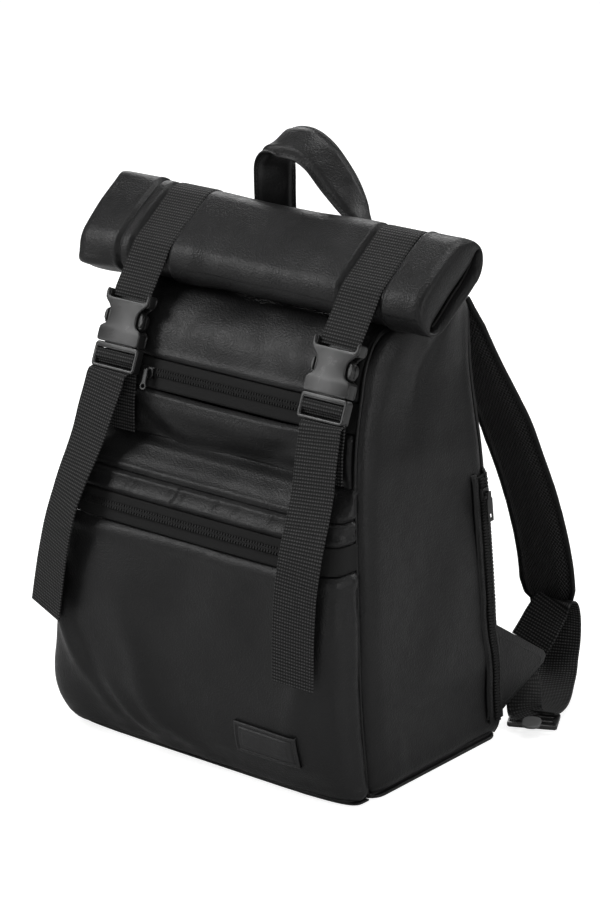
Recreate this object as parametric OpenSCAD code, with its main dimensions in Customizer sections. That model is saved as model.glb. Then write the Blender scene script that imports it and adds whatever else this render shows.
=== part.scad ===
// Roll-top backpack in faux leather: four walled body, rolled mouth held down by two
// buckled straps, bellows front pocket, three zips, top handle and padded shoulder straps.
// X is to the bag's right seen from the front, -Y is the front, Z is up.
// The origin is on the floor under the middle of the body.

/* [Body] */
// Half width of the bag at its base
base_half_w = 148; // [144:1:150]
// Thickness of the leather walls
panel_t = 2.0; // [1.6:0.1:2.2]
// How far the front wall swells at its middle
front_bulge = 8; // [4:1:8]
// Thickness of the sewn-in floor panel
base_t = 2.4; // [2:0.1:2.4]
// Thickness of the foam behind the back wall
foam_t = 5; // [3:0.5:6]

/* [Roll] */
// Radius of the rolled mouth at its two rounded sides
roll_r = 17; // [15:0.5:17]
// Length of the rolled mouth, end to end
roll_len = 330; // [320:1:334]
// Thickness of one turn of the roll
roll_t = 2.6; // [2:0.2:3]

/* [Webbing] */
// Width of the closure webbing
web_w = 38; // [34:1:38]
// Thickness of the closure webbing
web_t = 1.6; // [1.2:0.1:1.6]
// Centre line of the right closure strap
strap_xr = 106; // [104:1:108]
// Centre line of the left closure strap
strap_xl = -98; // [-100:1:-96]

/* [Buckle] */
// Width of the side-release buckle
buckle_w = 46; // [45:1:46]
// Thickness of the buckle's housing
buckle_t = 11; // [10:0.5:11]
// Height of the housing above the mouth line
housing_h = 41; // [40:1:42]
// Height of the ladder lock below the mouth line
lock_h = 20; // [18:1:20]

/* [Pocket] */
// Extra depth of the front pocket
pocket_extra = 0; // [-3:1:1]

/* [Handle and shoulder straps] */
// Height of the handle's crown above the floor
handle_top = 479; // [465:1:480]
// Width of the handle
handle_w = 28; // [24:1:28]
// Width of a shoulder strap
shoulder_w = 52; // [48:1:60]
// Thickness of a shoulder strap's padding
shoulder_t = 9; // [7:0.5:10]
// Centre line of a shoulder strap
shoulder_x = 105; // [100:1:108]

/* [Hidden] */

leather = [0.17, 0.17, 0.18];
webbing = [0.08, 0.08, 0.08];
plastic = [0.24, 0.24, 0.25];
zip_black = [0.06, 0.06, 0.06];
board_black = [0.1, 0.1, 0.1];
foam_grey = [0.2, 0.2, 0.2];
divider_grey = [0.12, 0.12, 0.13];
label_grey = [0.15, 0.15, 0.16];
mesh_black = [0.07, 0.07, 0.07];

// ---- stations up the body, on the right-hand side ----
// front seam: x, y, z, inward direction in y and z, share of the front swell
FRONT = [
  [148, -80, 0, 1, 0, 0],
  [147.5, -86, 50, 1, 0, 0.1],
  [147, -89, 86, 1, 0, 0.2],
  [144.5, -90, 165, 1, 0, 0.3],
  [138, -85, 241, 1, 0, 0.5],
  [134, -79, 278, 1, 0, 1],
  [130, -68, 311, 1, 0, 1],
  [127, -58, 335, 0.98, -0.2, 0.8],
  [125, -41, 354, 0.8, -0.6, 0.4],
  [131, -20, 361, 0.6, -0.8, 0.1],
  [148, 4, 378.6, 0.59, -0.81, 0],
  [158, 19, 389, 0.59, -0.81, 0]];
// back seam: x, y, z, inward direction in y and z
BACK = [
  [148, 85, 0, -1, 0],
  [148, 81, 50, -1, 0],
  [148, 76, 86, -1, 0],
  [147, 66, 165, -1, 0],
  [145.5, 57.5, 241, -1, 0],
  [141, 55, 278, -1, 0],
  [135, 55.5, 311, -1, 0],
  [132, 57, 335, -1, 0],
  [131, 57, 354, -0.96, -0.28],
  [137, 50, 366, -0.77, -0.64],
  [150, 37, 382, -0.67, -0.74],
  [160, 26.5, 391, -0.65, -0.76]];
LAST = len(FRONT) - 1;
// room for the side wall's slope where the walls splay out to the roll: station, clearance
SPLAY_ROOM = [[6.5, 0], [8, 2.4], [9, 3.6], [11, 3.6]];

widening = base_half_w - FRONT[0][0];
wall_gap = 0.5; // between the side walls and the front and back walls
wall_foot = base_t + 0.4; // bottom edge of the walls
seam_gap = 0.6; // between neighbouring strips of the front wall and pocket

function mix(a, b, f) = a * (1 - f) + b * f;
function xyz(row) = [row[0], row[1], row[2]];
// a table's row at a fractional station, and the fractional station at a height
function row_at(table, station) =
  let (i = min(floor(station), LAST - 1)) mix(table[i], table[i + 1], station - i);
function station_at(table, z) = lookup(z, [for (k = [0 : LAST]) [table[k][2], k]]);
function front_at(z) = station_at(FRONT, z);
function back_at(z) = station_at(BACK, z);
function stations_from_foot(table) =
  concat([station_at(table, wall_foot)], [for (k = [1 : LAST]) k]);

// the swell is level across the middle and falls away towards the seams
level_share = 0.55;
function swell(across) =
  abs(across) < level_share ? 1 : 1 - pow((abs(across) - level_share) / (1 - level_share), 2);

// points on the walls: across runs from -1 on the left to 1 on the right
function wall_half_w(row, station) =
  row[0] + widening - panel_t - wall_gap - lookup(station, SPLAY_ROOM);
function front_pt(station, across, inset) =
  let (row = row_at(FRONT, station)) [
    across * wall_half_w(row, station),
    row[1] - front_bulge * row[5] * swell(across) + inset * row[3],
    row[2] + inset * row[4]];
function back_pt(station, across, inset) =
  let (row = row_at(BACK, station)) [
    across * wall_half_w(row, station),
    row[1] + inset * row[3],
    row[2] + inset * row[4]];
// backward runs from 0 at the front seam to 1 at the back seam
function side_pt(station, backward, inset) =
  mix(xyz(row_at(FRONT, station)), xyz(row_at(BACK, station)), backward)
  + [widening - inset, 0, 0];

// ---- shared builders ----
function quad(a, b, c, d) = [[a, b, c], [b, d, c]];

// a closed skin between two grids of points
module skin(outside, inside) {
  rows = len(outside);
  cols = len(outside[0]);
  in = rows * cols; // index of the first inside point
  top = (rows - 1) * cols;
  end = cols - 1;
  polyhedron(
    points = concat([for (r = outside) each r], [for (r = inside) each r]),
    faces = concat(
      [for (i = [0 : rows - 2], j = [0 : cols - 2])
        let (p = i * cols + j) each quad(p, p + cols, p + 1, p + cols + 1)],
      [for (i = [0 : rows - 2], j = [0 : cols - 2])
        let (p = in + i * cols + j) each quad(p, p + 1, p + cols, p + cols + 1)],
      [for (j = [0 : cols - 2]) each quad(j, j + 1, in + j, in + j + 1)],
      [for (j = [0 : cols - 2])
        let (p = top + j) each quad(p, in + p, p + 1, in + p + 1)],
      [for (i = [0 : rows - 2])
        let (p = i * cols) each quad(p, in + p, p + cols, in + p + cols)],
      [for (i = [0 : rows - 2])
        let (p = i * cols + end) each quad(p, p + cols, in + p, in + p + cols)]));
}

// wall pieces through a list of stations, between two insets from the outer surface
function front_grid(stations, inset) =
  [for (s = stations) [for (k = [0 : 12]) front_pt(s, -1 + k / 6, inset)]];
function back_grid(stations, inset, share) =
  [for (s = stations) [for (u = [1, 0.5, 0, -0.5, -1]) back_pt(s, u * share, inset)]];
function side_grid(stations, inset) =
  [for (s = stations) [for (v = [0, 0.25, 0.5, 0.75, 1]) side_pt(s, v, inset)]];
module front_skin(stations, from, to) {
  skin(front_grid(stations, from), front_grid(stations, to));
}
// share is the part of the back wall's width that the piece covers
module back_skin(stations, from, to, share = 1) {
  skin(back_grid(stations, from, share), back_grid(stations, to, share));
}

// extrude a Y-Z outline along +X
module along_x(start, length) {
  rotate([90, 0, 90]) translate([0, 0, start]) linear_extrude(length) children();
}
// extrude an X-Z outline towards the front
module to_front(start, length) {
  rotate([90, 0, 0]) translate([0, 0, start]) linear_extrude(length) children();
}
module left_side() { mirror([1, 0, 0]) children(); }

function unit(v) = v / norm(v);
function normal(path, i) =
  let (d = unit(path[min(i + 1, len(path) - 1)] - path[max(i - 1, 0)])) [d[1], -d[0]];
function shifted(path, i, distance) = path[i] + normal(path, i) * distance;
// outline of constant thickness t along a path
function band(path, t) = concat(
  [for (i = [0 : len(path) - 1]) shifted(path, i, t / 2)],
  [for (i = [len(path) - 1 : -1 : 0]) shifted(path, i, -t / 2)]);
// a strip along a path in the Y-Z plane, width w along X
module strip(path, t, w) { along_x(-w / 2, w) polygon(band(path, t)); }

// a box from its [low, high] limits on each axis
module slab(x, y, z) {
  translate([x[0], y[0], z[0]]) cube([x[1] - x[0], y[1] - y[0], z[1] - z[0]]);
}
module round_rect(w, h, r) {
  union() {
    square([w - 2 * r, h], center = true);
    square([w, h - 2 * r], center = true);
    for (a = [-1, 1], b = [-1, 1])
      translate([a * (w / 2 - r), b * (h / 2 - r)]) circle(r, $fn = 32);
  }
}

// ---- body ----
board_t = 2.2;
foam_from = panel_t + 0.9;
divider_from = panel_t + foam_t + 2;
divider_t = 1.4;

module base_panel() {
  color(leather) linear_extrude(base_t)
    translate([0, 2.5]) round_rect(2 * base_half_w - 1, 164, 14);
}
module base_board() {
  color(board_black) translate([0, 0, wall_foot]) linear_extrude(board_t)
    translate([0, 1]) round_rect(2 * base_half_w - 12, 148, 12);
}
module side_panel() {
  stations = stations_from_foot(FRONT);
  color(leather) skin(side_grid(stations, 0), side_grid(stations, panel_t));
}
module side_panel_right() { side_panel(); }
module side_panel_left() { left_side() side_panel(); }
module back_panel() {
  color(leather) back_skin(stations_from_foot(BACK), 0, panel_t + 0.6);
}
module back_foam() {
  color(foam_grey) back_skin([back_at(10), 2, 3, 4, 5, 6, back_at(345)],
    foam_from, foam_from + foam_t, share = 0.94);
}
module laptop_divider() {
  color(divider_grey) back_skin([back_at(14), 2, 3, 4, 5, back_at(300)],
    divider_from, divider_from + divider_t, share = 0.9);
}
// the yoke lies on the outside of the back wall
module strap_yoke() {
  color(leather) back_skin([back_at(326), 7, back_at(352)], -0.3, -2.1, share = 0.97);
}

// heights of the front zip tape: bottom, middle row, top
front_tape = [287, 298, 308];
module front_panel_lower() {
  color(leather) front_skin(
    [front_at(wall_foot), 1, 2, 3, 4, 5, front_at(front_tape[0] - seam_gap)], 0, panel_t);
}
module front_panel_upper() {
  color(leather) front_skin(
    [front_at(front_tape[2] + seam_gap), 6.5, 7, 7.5, 8, 8.5, 9, 10, 11], 0, panel_t);
}

// ---- zip parts, lying along X with -Y outward ----
zip_tilt = -18;
pull_out = 4.9; // how far a pull stands out from the chain's centre
pull_t = 1.5;

module chain_section() { round_rect(1.8, 5.6, 0.7); }
module zip_chain(length) { along_x(-length / 2, length) chain_section(); }
// a bridge over the chain, two side flanges and a keeper loop
module zip_slider() {
  difference() {
    union() {
      to_front(1.3, 1.4) round_rect(9, 8.2, 2);
      slab([-4.5, 4.5], [-1.5, 0.5], [3.3, 4.1]);
      slab([-4.5, 4.5], [-1.5, 0.5], [-4.1, -3.3]);
      slab([-1.6, 1.6], [-4.6, -2.6], [-2.6, 2.6]);
    }
    slab([-3, 3], [-3.9, -2.65], [-1.6, 1.6]);
  }
}
// a hanging tab with a round, pierced end
module zip_pull(length) {
  translate([0, -pull_out, 0]) to_front(0, pull_t) difference() {
    union() {
      translate([-2.2, -length]) square([4.4, length + 0.6]);
      translate([0, -length]) circle(3.1, $fn = 32);
    }
    translate([0, -length]) circle(1.5, $fn = 24);
  }
}

// ---- front zip ----
front_zip_z = front_tape[1];
front_zip_y = front_pt(front_at(front_zip_z), 0, 0)[1] - 1.2;
front_slider_x = -70;

module on_front_zip(x) {
  translate([x, front_zip_y, front_zip_z]) rotate([zip_tilt, 0, 0]) children();
}
module front_zip_tape() {
  color(zip_black) front_skin([for (z = front_tape) front_at(z)], 0.1, 1.5);
}
module front_zip_teeth() { color(zip_black) on_front_zip(10) zip_chain(188); }
module front_zip_slider() { color(plastic) on_front_zip(front_slider_x) zip_slider(); }
module front_zip_pull() { color(plastic) on_front_zip(front_slider_x) zip_pull(11); }

// ---- front pocket ----
// height, depth of the pocket
POCKET_DEPTH = [[3.2, 22], [12, 28], [30, 34], [60, 38], [100, 39], [150, 37.5],
  [188, 34], [209, 29], [226, 21], [236, 12], [246, 1]];
// height, share of the extra depth
EXTRA_SHARE = [[3, 0.5], [60, 1], [200, 1], [246, 0]];
// height, share of the front swell
SWELL_SHARE = [[200, 0], [246, 1]];
// angles round the pocket's plan curve, from its left end to its right
POCKET_ANGLES = [0, 1.5, 5, 12, 25, 45, 70, 90, 110, 135, 155, 168, 175, 178.5, 180];
// roof rows: outer height, inset of the underside, its drop
POCKET_ROOF = [[226, 1.6, 0], [236, 0.8, -1.2], [245, 0, -1.5]];
pocket_t = 1.6;
pocket_foot = POCKET_DEPTH[0][0];
pocket_side_inset = 3; // in from the side of the bag
pocket_clearance = 1.6; // between the front seam line and the pocket's ends
plan_power = 0.4; // squareness of the plan curve
pocket_tape = [188.6, 198.5, 208.4];

function signed_pow(v, e) = sign(v) * pow(abs(v), e);
function pocket_pt(z, angle, inset) =
  let (row = row_at(FRONT, front_at(z)),
       depth = lookup(z, POCKET_DEPTH) + pocket_extra * lookup(z, EXTRA_SHARE)) [
    -signed_pow(cos(angle), plan_power) * (row[0] + widening - pocket_side_inset - inset),
    row[1] - pocket_clearance - (depth - inset) * signed_pow(sin(angle), plan_power)
      - front_bulge * 0.5 * lookup(z, SWELL_SHARE) * swell(cos(angle)),
    z];
function pocket_grid(heights, inset) =
  [for (z = heights) [for (a = POCKET_ANGLES) pocket_pt(z, a, inset)]];
module pocket_skin(heights, t) { skin(pocket_grid(heights, 0), pocket_grid(heights, t)); }

module pocket_front() {
  color(leather)
    pocket_skin([pocket_foot, 12, 30, 60, 100, 150, pocket_tape[0] - seam_gap], pocket_t);
}
// the pocket's sewn-in floor, inside the foot of its front
module pocket_floor() {
  back_x = base_half_w - 8;
  back_y = -80.4;
  color(leather) translate([0, 0, 0.9]) linear_extrude(1.6)
    polygon(concat(
      [for (a = POCKET_ANGLES) if (a > 0 && a < 180)
        let (p = pocket_pt(pocket_foot, a, 0.6)) [p[0], p[1]]],
      [[back_x, back_y], [-back_x, back_y]]));
}
module pocket_zip_tape() { color(zip_black) pocket_skin(pocket_tape, 1.2); }
module pocket_band() {
  color(leather)
    pocket_skin([pocket_tape[2] + seam_gap, 217, POCKET_ROOF[0][0] - seam_gap], pocket_t);
}
// the pocket's soft roof, closing back onto the front wall
module pocket_top() {
  color(leather) skin(
    pocket_grid([for (r = POCKET_ROOF) r[0]], 0),
    [for (r = POCKET_ROOF) [for (a = POCKET_ANGLES) pocket_pt(r[0], a, r[1]) + [0, 0, r[2]]]]);
}

pocket_zip_z = 198.6;
pocket_zip_y = pocket_pt(pocket_zip_z, 90, 0)[1] - 1.1;
pocket_slider_x = 106;
module on_pocket_zip(x) {
  translate([x, pocket_zip_y, pocket_zip_z]) rotate([zip_tilt, 0, 0]) children();
}
module pocket_zip_teeth() { color(zip_black) on_pocket_zip(0) zip_chain(226); }
module pocket_zip_slider() { color(plastic) on_pocket_zip(pocket_slider_x) zip_slider(); }
module pocket_zip_pull() { color(plastic) on_pocket_zip(pocket_slider_x) zip_pull(14); }

label_x = 80;
label_z = 44;
label_lean = 103.7;
module label_patch() {
  color(label_grey) translate([label_x, pocket_pt(label_z, 90, 0)[1] - 1.2, label_z])
    rotate([label_lean, 0, 0]) linear_extrude(1.4) round_rect(60, 27, 2);
}

// ---- side zip, on the right wall beside its back seam ----
side_zip_foot = [148.3 + widening, 76, 16];
side_zip_head = [146.3 + widening, 51, 226];
side_zip_run = side_zip_head - side_zip_foot;
side_zip_len = norm(side_zip_run);
side_slider_h = side_zip_len - 14;
side_chain_out = 2.7;
chain_margin = 4; // bare tape at each end of the chain

// local frame: +Z runs up the zip, +X is outward
module on_side_zip(height) {
  run = side_zip_run;
  translate(side_zip_foot + run * height / side_zip_len)
    rotate([atan2(-run[1], run[2]), 0, 0])
    rotate([0, atan2(run[0], norm([run[1], run[2]])), 0])
    children();
}
module side_zip_tape() {
  color(zip_black) on_side_zip(0) slab([0.5, 1.5], [-10, 10], [0, side_zip_len]);
}
module side_zip_teeth() {
  color(zip_black) on_side_zip(0) translate([side_chain_out, 0, chain_margin])
    linear_extrude(side_zip_len - 2 * chain_margin) chain_section();
}
// the matrix turns the slider's +X up the zip and its -Z towards +Y
module side_zip_slider() {
  color(plastic) on_side_zip(side_slider_h) translate([side_chain_out, 0, 0])
    multmatrix([[0, -1, 0, 0], [0, 0, -1, 0], [1, 0, 0, 0], [0, 0, 0, 1]]) zip_slider();
}
// a narrow neck and a wide hanging tab with a square hole
module side_zip_pull() {
  color(plastic) on_side_zip(side_slider_h)
    translate([side_chain_out + pull_out, 0, -1.0]) rotate([0, 90, 0])
    linear_extrude(pull_t) difference() {
      union() {
        translate([-1.5, -2.2]) square([6, 4.4]);
        translate([3, -3.4]) square([19, 6.8]);
      }
      translate([15.5, -1.7]) square([3.4, 3.4]);
    }
}

// ---- rolled mouth: a flattened roll, turned forward and down ----
// [y, z] centres of its two rounded sides
roll_back = [6, 404];
roll_front = [-32, 376];
roll_axis = unit(roll_back - roll_front);
roll_angle = atan2(roll_axis[1], roll_axis[0]);
roll_top_angle = roll_angle + 90;

function polar(angle) = [cos(angle), sin(angle)];
module pill(r) {
  polygon(concat(
    [for (k = [0 : 18]) roll_back + r * polar(roll_angle - 90 + 10 * k)],
    [for (k = [0 : 18]) roll_front + r * polar(roll_angle + 90 + 10 * k)]));
}
module roll_shell(length, outer_r, inner_r) {
  color(leather) along_x(-length / 2, length) difference() {
    pill(outer_r);
    pill(inner_r);
  }
}
module roll_wrap() { roll_shell(roll_len, roll_r, roll_r - roll_t); }
module roll_core() { roll_shell(roll_len - 8, roll_r - roll_t - 4, roll_r - roll_t - 6.5); }

// ---- buckle frame: origin on the mouth line, +Z up the housing, -Y outward ----
buckle_tilt = -22.2;
buckle_origin = [-84, 315.5];
// [y, z] of a point given outward and up in the buckle's frame
function buckle_pt(out, up) =
  buckle_origin + up * [-sin(buckle_tilt), cos(buckle_tilt)]
  + out * [-cos(buckle_tilt), -sin(buckle_tilt)];
module at_buckle(x) {
  translate([x, buckle_origin[0], buckle_origin[1]]) rotate([buckle_tilt, 0, 0]) children();
}

// ---- closure straps ----
// path over the roll: round the back, along the top, round the front, down to the housing
wrap_r = roll_r + 0.4 + web_t / 2;
wrap_start_angle = 34;
strap_end = buckle_pt(0, housing_h + 0.8);
to_end = strap_end - roll_front;
// angle at which the straight run leaves the roll's front, tangent to it
leave_angle = 360 + atan2(to_end[1], to_end[0]) - acos(wrap_r / norm(to_end));
function wrap_arc(centre, from, to) =
  [for (k = [0 : 6]) centre + wrap_r * polar(mix(from, to, k / 6))];
strap_path = concat(
  wrap_arc(roll_back, wrap_start_angle, roll_top_angle),
  wrap_arc(roll_front, roll_top_angle, leave_angle),
  [strap_end]);
// [y, z] up the front wall
anchor_path = [[-92.2, 250], [-90.6, 266], [-88.2, 282], [-85.4, 294]];
// the free end of the webbing, hung from the ladder lock over the pocket: [y, z]
tail_path = [buckle_pt(5.6, -lock_h - 1.6), [-102, 286], [-108, 268], [-114, 250],
  [-120, 234], [-127, 218], [-133.4, 200], [-136.8, 178], [-137.4, 150], [-137, 125],
  [-136.2, 102]];

module closure_web(x, path) { color(webbing) translate([x, 0, 0]) strip(path, web_t, web_w); }
module closure_strap_right() { closure_web(strap_xr, strap_path); }
module closure_strap_left() { closure_web(strap_xl, strap_path); }
module strap_anchor_right() { closure_web(strap_xr, anchor_path); }
module strap_anchor_left() { closure_web(strap_xl, anchor_path); }
module strap_tail_right() { closure_web(strap_xr, tail_path); }
module strap_tail_left() { closure_web(strap_xl, tail_path); }

// ---- buckles ----
web_slot = [-web_w / 2 - 0.6, web_w / 2 + 0.6]; // limits in x of the webbing slots
cavity = [-3.4, 3.4]; // limits in y of the housing's hollow
plug_t = 8;
stem_t = 5.2;
stem_h = 24;
arm_t = 5.4;

// front outline of the housing, waisted at both sides
module buckle_face() {
  half_w = buckle_w / 2;
  difference() {
    union() {
      translate([0, housing_h / 2]) round_rect(buckle_w - 2, housing_h, 3);
      translate([0, housing_h - 4.5]) round_rect(buckle_w, 9, 3);
    }
    for (m = [-1, 1]) translate([m * (half_w + 1.5), 21.5]) circle(9.2, $fn = 48);
    for (m = [-1, 1]) translate([m * half_w, 27]) circle(4.5, $fn = 32);
  }
}
// cut by the mouth, the side windows and the webbing slot
module buckle_housing(x) {
  color(plastic) at_buckle(x) difference() {
    to_front(-buckle_t / 2, buckle_t) buckle_face();
    slab([-17, 17], cavity, [-1, 31]);
    slab([-buckle_w, buckle_w], cavity, [11.5, 30]);
    slab(web_slot, [-1.6, 1.6], [35, housing_h + 1]);
  }
}
module buckle_housing_right() { buckle_housing(strap_xr); }
module buckle_housing_left() { buckle_housing(strap_xl); }

// the ladder lock with two slots and a recess, and a round-ended middle stem
module buckle_plug(x) {
  color(plastic) at_buckle(x) union() {
    difference() {
      to_front(-plug_t / 2, plug_t)
        translate([0, -lock_h / 2 - 0.4]) round_rect(buckle_w, lock_h, 3);
      slab(web_slot, [-5, 5], [-8.6, -4.2]);
      slab(web_slot, [-5, 5], [-lock_h + 2.4, -11.4]);
      slab(web_slot, [-5, -1.8], [-12, -8]);
    }
    slab([-3.6, 3.6], [-stem_t / 2, stem_t / 2], [-1, stem_h]);
    translate([0, stem_t / 2, stem_h]) rotate([90, 0, 0]) cylinder(r = 3.6, h = stem_t, $fn = 32);
  }
}
module buckle_plug_right() { buckle_plug(strap_xr); }
module buckle_plug_left() { buckle_plug(strap_xl); }

// one spring arm with its thumb pad, on the +X side (side = 1) or the -X side (-1)
module buckle_arm(x, side) {
  color(plastic) at_buckle(x) mirror([side < 0 ? 1 : 0, 0, 0])
    to_front(-arm_t / 2, arm_t) union() {
      translate([11, 0.3]) square([3.6, 27]);
      translate([12.8, 27.3]) circle(1.8, $fn = 24);
      intersection() {
        translate([10.4, 21]) circle(10.4, $fn = 64);
        translate([12, 12.6]) square([10, 16]);
      }
    }
}
module buckle_arm_right_outer() { buckle_arm(strap_xr, 1); }
module buckle_arm_right_inner() { buckle_arm(strap_xr, -1); }
module buckle_arm_left_outer() { buckle_arm(strap_xl, -1); }
module buckle_arm_left_inner() { buckle_arm(strap_xl, 1); }

// ---- handle ----
// x, rise above the handle's roots before scaling to handle_top
HANDLE = [[-50, 0], [-51, 24], [-49, 46], [-40, 64], [-22, 74], [2, 78], [24, 73],
  [36, 56], [45, 30], [50, 0]];
handle_t = 9;
handle_root_z = 396;
handle_front_y = 25.5;

module top_handle() {
  rise_scale = (handle_top - handle_root_z - handle_t / 2) / max([for (p = HANDLE) p[1]]);
  path = [for (p = HANDLE) [p[0], handle_root_z + p[1] * rise_scale]];
  // the turn and mirror stand the outline up in X-Z, extruded towards +Y
  color(leather) translate([0, handle_front_y, 0]) rotate([90, 0, 180]) mirror([1, 0, 0])
    linear_extrude(handle_w) polygon(band(path, handle_t));
}

// ---- shoulder straps and their lower webbing ----
// [y, z] down the strap
shoulder_path = [[61.5, 357], [78, 331], [97, 303], [118, 274], [139, 244], [157, 211],
  [175, 177], [191, 140], [203, 103], [209, 66]];
mesh_t = 3;

module shoulder_strap() {
  color(leather) translate([shoulder_x, 0, 0])
    strip(shoulder_path, shoulder_t - mesh_t, shoulder_w);
}
module shoulder_strap_right() { shoulder_strap(); }
module shoulder_strap_left() { left_side() shoulder_strap(); }

// the mesh lies under the strap, on the side facing the bag
module strap_mesh() {
  path = [for (i = [1 : len(shoulder_path) - 1])
    shifted(shoulder_path, i, shoulder_t / 2 + 0.4)];
  color(mesh_black) translate([shoulder_x, 0, 0]) strip(path, mesh_t, shoulder_w - 4);
}
module strap_mesh_right() { strap_mesh(); }
module strap_mesh_left() { left_side() strap_mesh(); }

// frame of the lower webbing and its ladder lock, turned about Z
module at_lower_web(z) { translate([154, 124, z]) rotate([0, 0, 27]) children(); }
// [y, z] in that frame
lower_web_path = [[2, 6], [14, 3.4], [34, 1.8], [60, 1.8], [82, 4], [97, 14], [103, 30],
  [101, 44]];
module strap_webbing() { color(webbing) at_lower_web(0) strip(lower_web_path, 1.6, 30); }
module strap_webbing_right() { strap_webbing(); }
module strap_webbing_left() { left_side() strap_webbing(); }

// a plate with three slots, its middle bars thinned on top
module ladder_lock() {
  slot_w = 33;
  slot_pitch = 7.4;
  color(plastic) at_lower_web(6) rotate([4, 0, 0]) translate([0, -13, 0]) difference() {
    linear_extrude(4) difference() {
      round_rect(40, 25, 3);
      for (k = [-1 : 1]) translate([0, k * slot_pitch]) square([slot_w, 3.6], center = true);
    }
    slab([-slot_w / 2, slot_w / 2], [-6, 6], [2.6, 5]);
  }
}
module ladder_lock_right() { ladder_lock(); }
module ladder_lock_left() { left_side() ladder_lock(); }

// [y, z] outline of the flat tab behind the back wall
tab_outline = [[78.6, 95], [87.4, 22], [91, 19], [146, 42], [149, 47], [146, 52]];
module strap_tab() { color(leather) along_x(142 + widening, 3) polygon(tab_outline); }
module strap_tab_right() { strap_tab(); }
module strap_tab_left() { left_side() strap_tab(); }

base_panel();
base_board();
side_panel_right();
side_panel_left();
back_panel();
back_foam();
laptop_divider();
strap_yoke();
front_panel_lower();
front_panel_upper();
front_zip_tape();
front_zip_teeth();
front_zip_slider();
front_zip_pull();
pocket_front();
pocket_floor();
pocket_band();
pocket_top();
pocket_zip_tape();
pocket_zip_teeth();
pocket_zip_slider();
pocket_zip_pull();
label_patch();
side_zip_tape();
side_zip_teeth();
side_zip_slider();
side_zip_pull();
roll_wrap();
roll_core();
closure_strap_right();
closure_strap_left();
strap_anchor_right();
strap_anchor_left();
buckle_housing_right();
buckle_housing_left();
buckle_plug_right();
buckle_plug_left();
buckle_arm_right_outer();
buckle_arm_right_inner();
buckle_arm_left_outer();
buckle_arm_left_inner();
strap_tail_right();
strap_tail_left();
top_handle();
shoulder_strap_right();
shoulder_strap_left();
strap_mesh_right();
strap_mesh_left();
strap_webbing_right();
strap_webbing_left();
ladder_lock_right();
ladder_lock_left();
strap_tab_right();
strap_tab_left();
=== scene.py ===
"""A black leather roll-top backpack standing on the floor.

x runs across the bag, with the "right" pieces at +x; -y is the front, +y the back that is worn
against the wearer; z is up and the floor is z = 0. Shapes are written in millimetres, and
make() turns them into metres.
"""
import bpy
import bmesh
import math
import numpy as np
from numpy import interp
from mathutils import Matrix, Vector


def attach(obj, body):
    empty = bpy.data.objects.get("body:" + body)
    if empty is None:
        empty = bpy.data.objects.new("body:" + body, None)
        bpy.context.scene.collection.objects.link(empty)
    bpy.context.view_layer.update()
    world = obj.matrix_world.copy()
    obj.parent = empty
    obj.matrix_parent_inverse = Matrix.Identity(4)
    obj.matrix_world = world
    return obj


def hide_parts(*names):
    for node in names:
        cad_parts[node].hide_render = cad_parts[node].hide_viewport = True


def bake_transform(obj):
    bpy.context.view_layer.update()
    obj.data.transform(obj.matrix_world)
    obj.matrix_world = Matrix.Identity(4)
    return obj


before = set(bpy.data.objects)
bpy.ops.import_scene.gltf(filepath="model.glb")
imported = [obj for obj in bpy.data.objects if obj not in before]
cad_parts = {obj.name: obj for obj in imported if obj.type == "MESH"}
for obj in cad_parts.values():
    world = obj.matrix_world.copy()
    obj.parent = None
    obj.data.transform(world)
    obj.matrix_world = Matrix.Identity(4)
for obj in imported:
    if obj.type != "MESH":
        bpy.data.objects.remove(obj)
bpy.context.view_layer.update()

COLLECTION = bpy.context.scene.collection
SIDES = (("right", 1), ("left", -1))
STRAP_X = {"right": 106.0, "left": -98.0}      # centre lines of the two closure straps
X_AXIS = (1.0, 0, 0)

# The seams between front and side walls, and between back and side walls, on the +x side:
# x, y, z at twelve stations from the floor to the mouth.
FRONT = np.array([
    (148, -80, 0), (147.5, -86, 50), (147, -89, 86), (144.5, -90, 165), (138, -85, 241),
    (134, -79, 278), (130, -68, 311), (127, -58, 335), (125, -41, 354), (125.5, -20, 361),
    (126, 4, 378.6), (126.5, 19, 389)], float)
BACK = np.array([
    (148, 85, 0), (148, 81, 50), (148, 76, 86), (147, 66, 165), (145.5, 57.5, 241),
    (141, 55, 278), (135, 55.5, 311), (132, 57, 335), (130, 57, 354), (130, 50, 366),
    (130, 37, 382), (130, 26.5, 391)], float)
LAST = len(FRONT) - 1
FRONT_TOP, BACK_TOP = FRONT[-1, 2], BACK[-1, 2]
# At the same stations: the share of the front wall's bulge, and how far the side walls swell.
FRONT_SHARE = [0, .1, .2, .3, .5, 1, 1, .8, .4, .1, 0, 0]
FRONT_BULGE = 8.0
SIDE_SWELL = [0, 0, 0, 0, 0, 1, 3, 6, 11, 18, 26, 30]

# How far the front pocket stands off the front wall: z, depth.
POCKET_Z, POCKET_DEPTH = np.array([
    (0, 16), (3.2, 22), (12, 28), (30, 34), (60, 38), (100, 39), (150, 37.5), (188, 34),
    (209, 29), (226, 21), (236, 12), (246, 1), (252, 0)]).T

# The flattened roll is a stadium in the y-z plane: its two centres and its radius.
ROLL_HIGH, ROLL_LOW = np.array([6.0, 404.0]), np.array([-32.0, 376.0])
ROLL_MID = (ROLL_HIGH + ROLL_LOW) / 2
ROLL_RADIUS = 17


# ------------------------------------------------------------------ maths
def ease(x):
    """A smooth step from 0 to 1."""
    x = np.clip(x, 0, 1)
    return x * x * (3 - 2 * x)


def bell(x, width, power=2):
    return np.exp(-(x / width) ** power)


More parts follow.
